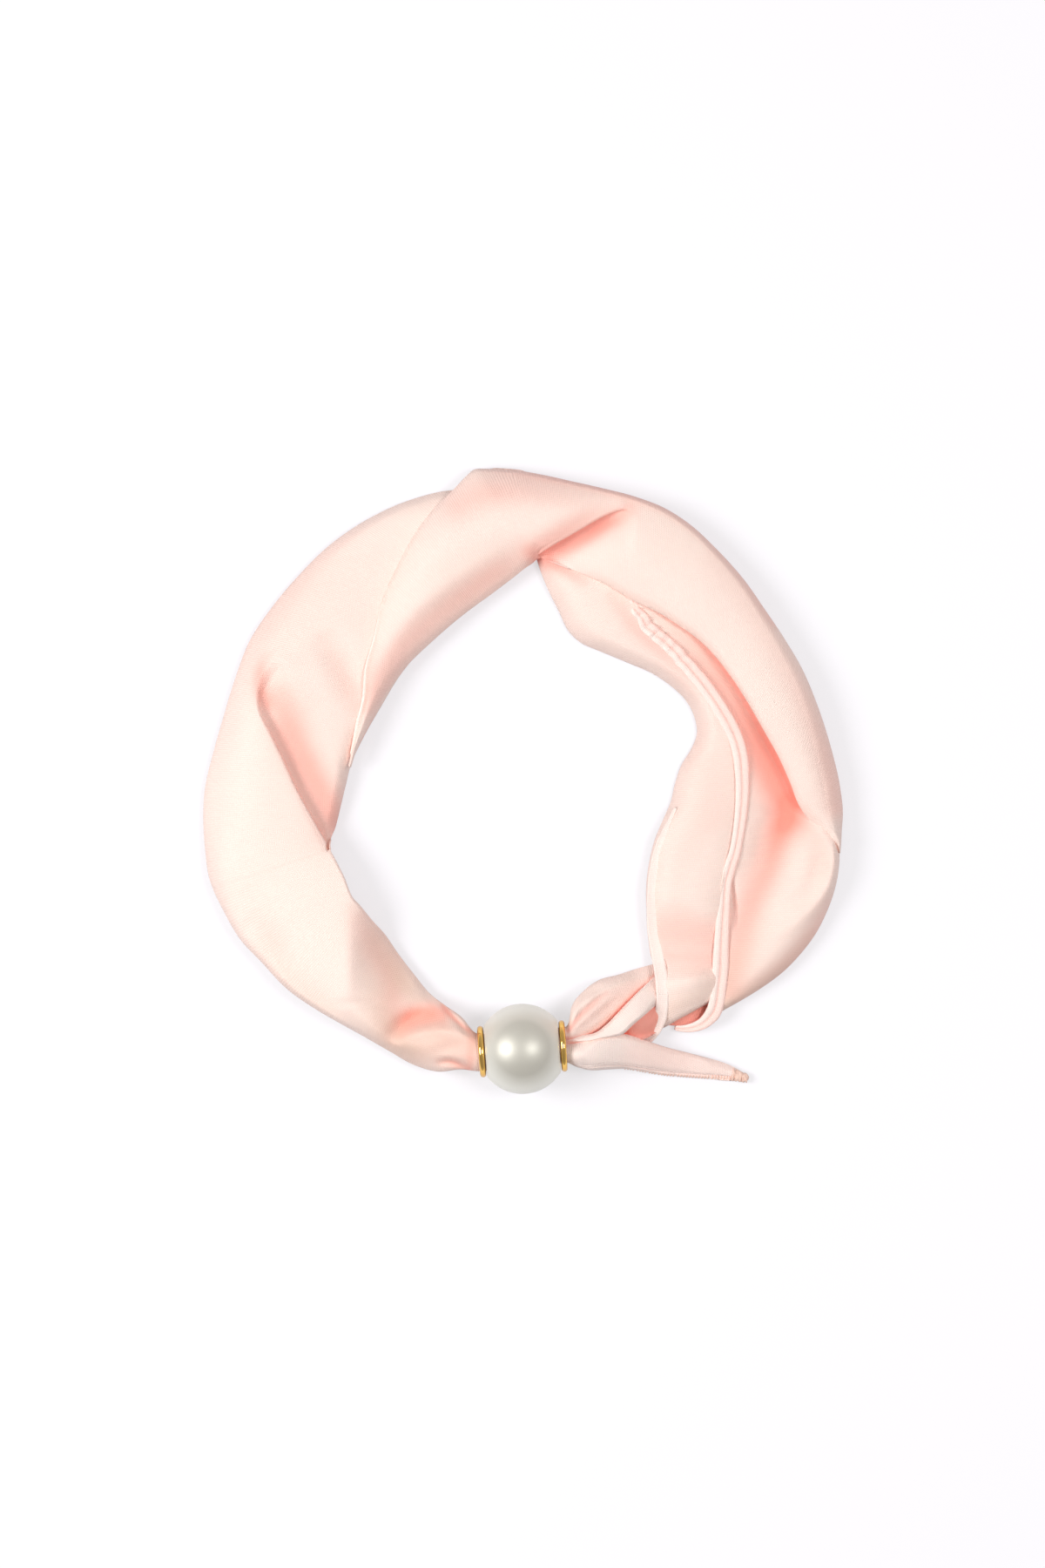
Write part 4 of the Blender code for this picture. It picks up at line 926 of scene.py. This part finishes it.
# the layer seen in the two hollows between the gather, the strip and the panel
lining = {
    "along": 60,
    "ripple": 0.15,
    "counts": (3, 14, 3, 10, 0),
    "freeInner": True,
    "rows": [
        row((30.8, -83.6), (31.6, -80.4), 6.0, 8.6, 0.5, 8.0, edges=(7.4, 7.4)),
        row((33.2, -86.2), (35.0, -76.2), 1.6, 11.2, 0.44, 8.6, edges=(9.6, 7.4)),
        row((36.4, -87.0), (39.0, -73.0), 0.3, 12.6, 0.4, 8.4, edges=(11.0, 7)),
        row((42.0, -86.0), (45.0, -71.0), 0.3, 10.0, 0.3, 4.4, edges=(9.0, 4.0)),
        row((48.0, -82.8), (50.0, -70.0), 0.3, 5.4, 0.5, 3.6),
        row((53.0, -82.8), (56.0, -69.0), 0.3, 4.4, 0.5, 3.2),
        row((59.0, -80.8), (62.0, -67.0), 0.3, 4.0, 0.5, 3.0),
        row((63.4, -76.0), (66.0, -66.0), 0.3, 2.6, 0.5, 2.4),
    ],
    "strokes": [],
}

# painted shade: lines along which the folds are painted coral: x, y, strength, then half width
foldShadeLines = {
    "leftWrapCloth": [
        ([(-27.5, -78.4, 0.6), (-33.0, -78.2, 0.95), (-37.6, -79.4, 0.85), (-41.0, -82.4, 0.56), (-42.4, -86.0, 0.24)], 3.2),
        ([(-17.6, -96.0, 0.3), (-17.2, -90.0, 0.36), (-16.8, -84.0, 0.3)], 1.6),
        ([(-34.0, -88.0, 0.2), (-28.0, -87.0, 0.26), (-19.0, -89.0, 0.28)], 6.5),
        ([(-28.0, -94.2, 0.2), (-23.4, -94.3, 0.5), (-18.6, -96.2, 0.35)], 1.5),
        ([(-54.0, -47.0, 0.14), (-49.0, -57.0, 0.26), (-44.0, -66.0, 0.32), (-43.6, -75.0, 0.3), (-44.0, -84.0, 0.2)], 5.0),
        ([(-82.4, 27.0, 0.34), (-79.4, 19.4, 0.54), (-75.0, 10.6, 0.6), (-70.4, 1.0, 0.6), (-66.0, -7.6, 0.56), (-63.2, -15.4, 0.46)], 5.4),
        ([(-92.0, 44.0, 0.07), (-80.0, 58.0, 0.09), (-62.0, 74.0, 0.08)], 12.0),
        ([(-80.0, 33.0, 0.06), (-77.0, 27.0, 0.14), (-73.0, 20.0, 0.1)], 4.0),
        ([(-86.0, -46.0, 0.04), (-83.0, -54.0, 0.1), (-79.0, -62.0, 0.06)], 5.0),
        ([(-86.4, 40.4, 0.16), (-87.6, 36.4, 0.4), (-87.8, 31.0, 0.4), (-85.6, 25.6, 0.3)], 2.7),
        ([(-27.0, -75.6, 0.2), (-23.4, -79.1, 0.5), (-18.2, -83.2, 0.5)], 0.8),
        ([(-66.0, 48.0, 0.03), (-60.6, 38.0, 0.13), (-56.0, 26.0, 0.16)], 4.0),
    ],
    "topWrapCloth": [
        ([(-53.4, 22.0, 0.1), (-48.8, 30.0, 0.24), (-45.2, 37.0, 0.28), (-38.6, 45.6, 0.28), (-29.4, 54.0, 0.28), (-19.0, 62.0, 0.3), (-9.4, 69.0, 0.3), (0.0, 74.6, 0.16)], 4.8),
        ([(-50.6, 44.0, 0.08), (-51.0, 34.0, 0.16), (-53.0, 24.0, 0.16)], 2.6),
        ([(-12.0, 104.4, 0.1), (10.0, 101.4, 0.26), (30.0, 96.8, 0.3), (50.0, 89.4, 0.26), (66.0, 76.4, 0.2), (84.0, 53.0, 0.2)], 2.4),
        ([(35.4, 89.6, 0.4), (28.7, 86.2, 0.5), (20.2, 80.8, 0.5), (12.6, 76.4, 0.54), (6.4, 73.4, 0.62)], 2.8),
        ([(28.0, 90.2, 0.06), (18.6, 85.6, 0.3), (8.4, 79.6, 0.38), (3.0, 76.4, 0.38)], 3.4),
        ([(-21.0, 91.6, 0.24), (-13.0, 94.6, 0.28), (0.0, 96.4, 0.2), (14.0, 95.0, 0.13), (26.0, 93.0, 0.06)], 6.0),
        ([(64.0, 74.0, 0.06), (86.0, 42.0, 0.1), (96.0, 22.0, 0.16), (102.6, 3.0, 0.22), (105.0, -9.0, 0.22)], 4.5),
        ([(93.6, -9.8, -0.4), (97.0, -13.6, -0.7), (101.0, -17.8, -0.7), (104.0, -24.0, -0.7), (105.0, -32.0, -0.7)], 2.0),
    ],
    "lowerPanelCloth": [
        ([(46, 53, 0.0), (57, 43.6, 0.14), (64, 36.6, 0.24), (70.6, 27, 0.34), (76, 18, 0.48), (81, 9, 0.64), (85.5, -1, 0.74), (88, -7, 0.66), (89, -12, 0.44)], 6.6),
        ([(89.6, -10.0, 0.5), (86.2, -18.0, 0.7), (82.0, -30.0, 0.58), (77.0, -41.0, 0.5), (73.6, -51.0, 0.44), (71.0, -61.0, 0.4), (68.4, -71.0, 0.36)], 5.0),
        ([(94.0, -15.0, 0.1), (98.0, -22.0, 0.14), (99.5, -28.0, 0.16), (97.0, -35.0, 0.05)], 4.0),
        ([(103.6, -42.0, 0.14), (98.0, -52.0, 0.26), (91.0, -60.6, 0.3), (82.0, -68.0, 0.26), (74.0, -73.0, 0.2)], 4.0),
    ],
    "innerStripCloth": [
        ([(40.0, -51.5, 0.28), (70.0, -52.5, 0.28)], 8.0),
        ([(44.0, -60.0, 0.16), (64.0, -61.0, 0.18)], 3.0),
        ([(66.0, -22.0, -0.08), (63.0, -34.0, -0.18), (61.0, -42.0, -0.1)], 5.0),
        ([(60.0, 14.0, 0.06), (62.0, -8.0, 0.09), (58.0, -24.0, 0.06)], 8.0),
        ([(4.6, 75.0, 0.6), (8.6, 72.6, 0.6), (13.0, 70.8, 0.45), (20.0, 67.0, 0.2)], 2.4),
        ([(30.0, 61.0, 0.15), (37.0, 52.0, 0.24), (45.0, 44.4, 0.24), (52.0, 37.0, 0.16), (58.0, 29.0, 0.08)], 3.0),
    ],
    "gatherCloth": [
        ([(20.0, -86.4, 0.4), (25.1, -84.4, 0.4), (34.8, -74.6, 0.4), (43.7, -66.1, 0.3)], 0.9),
        ([(18.0, -80.0, 0.12), (28.0, -74.0, 0.12), (38.0, -68.6, 0.1)], 4.5),
        ([(14.4, -86.0, 0.6), (20.0, -86.6, 0.8), (27.0, -85.0, 0.6)], 1.2),
        ([(15.0, -83.4, 0.5), (20.0, -77.4, 0.35), (28.0, -71.0, 0.1)], 0.9),
        ([(15.4, -78.0, -0.2), (22.0, -69.6, -0.2), (33.0, -65.0, -0.2), (42.0, -63.0, -0.2)], 2.5),
    ],
    "gatherFoldCloth": [
        ([(14.4, -87.0, 0.5), (21.0, -87.8, 0.7), (27.0, -86.6, 0.5)], 0.8),
        ([(24.0, -85.4, -0.3), (33.0, -81.4, -0.45), (44.6, -70.0, -0.4)], 4.0),
    ],
    "tailCloth": [([(15.5, -88.0, -0.3), (25.0, -89.0, -0.22), (34.0, -90.4, 0.06), (46.0, -93.0, 0.14), (66.0, -97.4, 0.1)], 6.0)],
    # painted shade: the whole lining is painted deep coral
    "liningCloth": [([(28.0, -80.0, 0.8), (66.0, -72.0, 0.8)], 30.0)],
}

# painted shade: lines along which slopes facing away from the lamps are painted tan: x, y, strength, then half width
slopeShadeLines = {
    "leftWrapCloth": [
        ([(-35.0, -89.0, 0.5), (-28.0, -86.5, 0.5), (-18.6, -88.5, 0.4)], 8.0),
        ([(-51.0, -60.0, 0.1), (-48.6, -70.0, 0.3), (-47.0, -80.0, 0.45), (-43.0, -89.0, 0.4)], 6.5),
        ([(-49.0, -53.0, 0.2), (-44.0, -61.0, 0.36), (-39.0, -69.0, 0.56), (-35.6, -73.0, 0.3)], 4.0),
        ([(-86.0, -56.0, 0.08), (-76.0, -68.0, 0.2), (-65.0, -76.6, 0.2)], 4.5),
    ],
    "lowerPanelCloth": [
        ([(76.0, -53.0, 0.15), (69.0, -64.0, 0.4), (63.0, -75.0, 0.4)], 6.0),
        ([(96.0, -54.0, 0.2), (88.0, -63.0, 0.35), (78.0, -70.6, 0.45), (68.0, -77.0, 0.45)], 3.5),
    ],
    "innerStripCloth": [([(48.0, -77.0, 0.35), (56.0, -73.6, 0.3), (64.0, -69.0, 0.2)], 4.0)],
}

grids = {
    "leftWrapCloth": sectionGrid(leftWrap),
    "topWrapCloth": sectionGrid(topWrap),
    "lowerPanelCloth": sectionGrid(lowerPanel),
    "innerStripCloth": sectionGrid(innerStrip),
    "gatherCloth": sectionGrid(gather),
    "gatherFoldCloth": sectionGrid(gatherFold),
    "tailCloth": sectionGrid(tail),
    "liningCloth": sectionGrid(lining),
}
sky = skyMap(grids.values())
cloths = {}
for name, grid in grids.items():
    # painted light on the strap and the tail through the paler satin copy
    look = litSatin if name in ("gatherFoldCloth", "tailCloth") else blushSatin
    cloths[name] = clothMesh(name, grid, look, foldShade=foldShadeOf(grid, sky, foldShadeLines[name]), slopeShade=np.clip(painted(grid, slopeShadeLines.get(name, [])), 0, 1))
stands = {
    "leftWrapCloth": ["left_wrap"],
    "topWrapCloth": ["top_wrap", "right_cuff"],
    "lowerPanelCloth": ["base_fold"],
    "innerStripCloth": ["inner_strip"],
    "gatherCloth": ["gathered_neck"],
    "gatherFoldCloth": [],
    "tailCloth": ["free_throat", "tail"],
    "liningCloth": [],
}
for name, piece in cloths.items():
    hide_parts(*stands[name])
    if name != "tailCloth":
        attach(piece, "loop")
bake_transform(cloths["tailCloth"])
print("cloth laid")

# Hems: a turned edge with two sewn ridges, swept along the cloth


def sweepGrid(path, profile, scale=1.0):
    path = np.array(path, float)
    run = np.gradient(path, axis=0)
    run[:, 2] = 0
    run /= np.linalg.norm(run, axis=1)[:, None] + 1e-9
    side = np.stack([run[:, 1], -run[:, 0], np.zeros(len(path))], axis=1)  # to the right of the run
    profile = np.array(profile + profile[:1], float)
    scale = np.broadcast_to(scale, len(path))[:, None, None]
    reach = side[:, None, :] * profile[None, :, 0:1] + np.array([0.0, 0.0, 1.0]) * profile[None, :, 1:2]
    return path[:, None, :] + reach * scale


def roundProfile(wide, tall, sides=14):
    return [(wide * cos(2 * pi * i / sides), tall * sin(2 * pi * i / sides)) for i in range(sides)]


def insetLine(grid, inset, first=False):
    line = []
    for section in grid if not first else grid[:, ::-1]:
        away = np.concatenate(([0.0], np.cumsum(np.linalg.norm(np.diff(section[::-1], axis=0), axis=1))))
        line.append([np.interp(inset, away, section[::-1, k]) for k in range(3)])
    return np.array(line)


def edgeHem(name, path, profile, body, scale=1.0, glow=None):
    scale = np.array(np.broadcast_to(scale, len(path)))
    scale[[0, -1]] = 0.0  # closes the ends
    # painted shade across the hem profile
    hemShadeChart = None if glow is None else np.tile([*glow, glow[0]], (len(path), 1))
    piece = clothMesh(name, sweepGrid(path, profile, scale), litSatin, wrap=True, thick=0, foldShade=hemShadeChart)
    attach(piece, body)
    return piece


hemProfile = [
    (-2.6, -0.1), (-2.45, 0.28), (-1.9, 0.48), (-1.1, 0.5), (-0.45, 0.34), (-0.12, 0.04), (0.12, 0.04), (0.45, 0.36), (1.1, 0.56), (1.9, 0.56),
    (2.42, 0.32), (2.6, -0.1), (2.3, -0.5), (-2.3, -0.5),
]
# painted shade in the hem's groove and along its edges and underside
hemProfileShade = [0.3, 0.24, 0.16, 0.14, 0.2, 0.36, 0.36, 0.12, 0, 0, 0, 0.1, 0.2, 0.3]
panelGrid = grids["lowerPanelCloth"]
hemWide = np.interp(np.linspace(0, 1, 300), [0, 0.06, 0.2, 0.4, 0.56, 0.66, 0.8, 0.92, 1.0], [2.4, 4.6, 5.2, 5.2, 3.8, 4.2, 5.6, 5.2, 1.6])
hemLine = np.array([insetLine(panelGrid[i : i + 1], wide / 2 - 0.3)[0] for i, wide in enumerate(hemWide)])
start = np.clip(1 - np.arange(300) / 62.0, 0, 1)[:, None] ** 0.6  # crinkled where it comes out of the fold
hemLine += start * np.column_stack([0.3 * np.sin(np.arange(300) * 0.62), 0.3 * np.cos(np.arange(300) * 0.47), 0.45 * np.sin(np.arange(300) * 0.9)])
panelHem = edgeHem("panelHem", hemLine[1:] + (0, 0, 0.2), hemProfile, "loop", hemWide[1:] / 5.2, hemProfileShade)
stripGrid = grids["innerStripCloth"]


def restOn(points, grid, lift):
    flat = grid.reshape(-1, 3)
    heights = []
    for x, y in points:
        gaps = (flat[:, 0] - x) ** 2 + (flat[:, 1] - y) ** 2
        heights.append(flat[gaps < max(gaps.min() + 0.3, 0.6), 2].max() + lift)
    return np.column_stack([points, np.convolve(np.pad(heights, 4, mode="edge"), np.ones(9) / 9, mode="valid")])


bandProfile = [
    (-2.0, 0.0), (-1.85, 0.3), (-1.5, 0.42), (-1.1, 0.34), (-0.6, 0.24), (0.7, 0.22), (1.2, 0.3), (1.6, 0.4), (1.9, 0.3), (2.1, -0.05),
    (1.9, -0.4), (-1.8, -0.4),
]
stripHem = glide([(51.4, -9), (48.6, -15), (45.8, -21.6), (44.2, -29), (43.5, -37), (43.5, -44), (44.1, -52), (45.2, -58.4), (46.2, -64.6), (46.7, -70), (46.7, -75), (46.2, -79.6)], 120)
curl = [(44.6, -83.2, 6.6), (42.2, -86.2, 5.6), (39.6, -88.2, 4.6)]
edgePath = restOn(stripHem, stripGrid, 0.1)
edgePath = np.vstack([edgePath[:-1], glide([edgePath[-1], *curl], 24)])
stripBand = edgeHem("stripHemBand", edgePath, bandProfile, "loop", np.interp(np.arange(len(edgePath)), [0, 40, 70], [0.25, 0.85, 1.05]))
foldLip = grids["topWrapCloth"][5:66, 14]
wrapLip = edgeHem("foldLip", foldLip, roundProfile(0.55, 0.5), "loop", np.interp(np.arange(len(foldLip)), [0, 14, 40, 60], [0.5, 1.2, 0.9, 0.3]))
print("hems sewn")

# Thread: oversewing along the tail's lower edge, and the lump that closes its tip


def threadMesh(name, grids, material):
    bm = bmesh.new()
    for grid in grids:
        rows, columns = grid.shape[:2]
        for vert in bmesh.ops.create_grid(bm, x_segments=rows - 1, y_segments=columns - 1, size=1.0)["verts"]:
            vert.co = grid[round((vert.co.x + 1) / 2 * (rows - 1)), round((vert.co.y + 1) / 2 * (columns - 1))] * mm
        bmesh.ops.remove_doubles(bm, verts=bm.verts, dist=1e-7)
    bmesh.ops.recalc_face_normals(bm, faces=bm.faces)
    for face in bm.faces:
        face.smooth = True
    data = bpy.data.meshes.new(name)
    bm.to_mesh(data)
    bm.free()
    data.materials.append(material)
    piece = bpy.data.objects.new(name, data)
    bpy.context.scene.collection.objects.link(piece)
    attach(piece, "tail")
    return piece


def ringGrid(middle, tall, wide, thread, turn):
    # one turn of thread round the tail
    a, b = np.meshgrid(np.linspace(0, 2 * pi, 33), np.linspace(0, 2 * pi, 9), indexing="ij")
    side = np.cos(a) * (wide + thread * np.cos(b))
    up = np.sin(a) * (tall + thread * np.cos(b))
    lean = turn * np.cos(a) * wide
    return np.stack([middle[0] + thread * np.sin(b) + lean, middle[1] + side, np.maximum(middle[2] + up, 0.1)], axis=2)


def lumpGrid(middle, size, bumps):
    a, b = np.meshgrid(np.linspace(0, pi, 19), np.linspace(0, 2 * pi, 29), indexing="ij")
    swell = 1 + 0.1 * np.sin(bumps * a) * np.cos(3 * b)
    return np.stack([middle[0] - size[0] * np.cos(a), middle[1] + size[1] * swell * np.sin(a) * np.cos(b), middle[2] + size[2] * swell * np.sin(a) * np.sin(b)], axis=2)


tailGrid = grids["tailCloth"]
rim = tailGrid[:, 123]  # the lower edge of the tail
stitches = []
for x in np.arange(34.0, 70.0, 1.05):
    i = int(np.abs(rim[:, 0] - x).argmin())
    away = tailGrid[i, 60:124][::-1]
    far = np.concatenate(([0.0], np.cumsum(np.linalg.norm(np.diff(away, axis=0), axis=1))))
    inner = [np.array([np.interp(reach, far, away[:, k]) for k in range(3)]) for reach in (0.35, 0.9, 1.5)]
    path = [rim[i] + (0, 0.25, -0.5), rim[i] + (0, -0.16, 0), inner[0] + (0.05, -0.02, 0.16), inner[1] + (0.12, 0, 0.17), inner[2] + (0.2, 0, -0.1)]
    path = glide(path, 12)
    scale = np.ones(12)
    scale[[0, -1]] = 0.0
    stitches.append(sweepGrid(path, roundProfile(0.2, 0.17, 8), scale))
oversewing = threadMesh("tailOversewing", stitches, threadFibre)

knot = [lumpGrid((72.2, -99.6, 2.0), (2.4, 1.9, 1.7), 5.0), lumpGrid((74.4, -100.2, 1.8), (1.8, 1.5, 1.5), 4.0)]
knot += [ringGrid((70.8 + 0.62 * k, -99.2 - 0.2 * k, 1.95 - 0.03 * k), 1.75 - 0.06 * k, 2.0 - 0.11 * k, 0.27, 0.12 * (-1) ** k) for k in range(8)]
tack = threadMesh("tipTack", knot, threadFibre)
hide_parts("tail_tip_tack")
print("thread sewn")

print("sheets not declared")

# Pearl slide


def spinPiece(name, profile, material, steps=160):
    bm = bmesh.new()
    corners = [bm.verts.new((along, 0, radius)) for along, radius in profile]
    edges = [bm.edges.new((corners[i - 1], corners[i])) for i in range(len(corners))]
    bmesh.ops.spin(bm, geom=corners + edges, cent=(0, 0, 0), axis=(1, 0, 0), angle=2 * pi, steps=steps, use_merge=True)
    bmesh.ops.recalc_face_normals(bm, faces=bm.faces)
    bmesh.ops.rotate(bm, cent=(0, 0, 0), matrix=Matrix.Rotation(radians(4.0), 3, "Z"), verts=bm.verts)
    bmesh.ops.translate(bm, vec=bead["centre"], verts=bm.verts)
    bmesh.ops.scale(bm, vec=(mm, mm, mm), verts=bm.verts)
    for face in bm.faces:
        face.smooth = True
    data = bpy.data.meshes.new(name)
    bm.to_mesh(data)
    bm.free()
    data.set_sharp_from_angle(angle=radians(40))
    data.materials.append(material)
    piece = bpy.data.objects.new(name, data)
    bpy.context.scene.collection.objects.link(piece)
    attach(piece, "pearl")
    return piece


face, radius, bore, ring = bead["face"], bead["radius"], bead["bore"], bead["ring"]
tilts = [pi / 2 * (2 * i / 96 - 1) for i in range(97)]
arc = [(face * sin(a), sqrt(radius**2 - (face * sin(a)) ** 2)) for a in tilts]
shell = spinPiece("pearlShell", arc + [(face, bore + 0.8), (-face, bore + 0.8)], pearl)
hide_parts("pearl_shell")
sleeve = spinPiece("boreSleeve", [(-face, bore), (-face, bore + 0.5), (face, bore + 0.5), (face, bore)], gold, 96)
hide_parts("bore_sleeve")
for side, name, node in ((-1, "leftEndRing", "left_end_ring"), (1, "rightEndRing", "right_end_ring")):
    middle = side * (face + 0.3 + bead["ringWide"] / 2)
    turn = [2 * pi * i / 40 for i in range(40)]
    half = bead["ringWide"] / 2
    profile = [(middle + half * cos(a), (bore + ring) / 2 + (ring - bore) / 2 * sin(a)) for a in turn]
    piece = spinPiece(name, profile, gold)
    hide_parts(node)
print("pearl slide turned")

for node, material in (("end_whipping", threadFibre),):
    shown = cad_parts[node]
    shown.data.materials.clear()
    shown.data.materials.append(material)
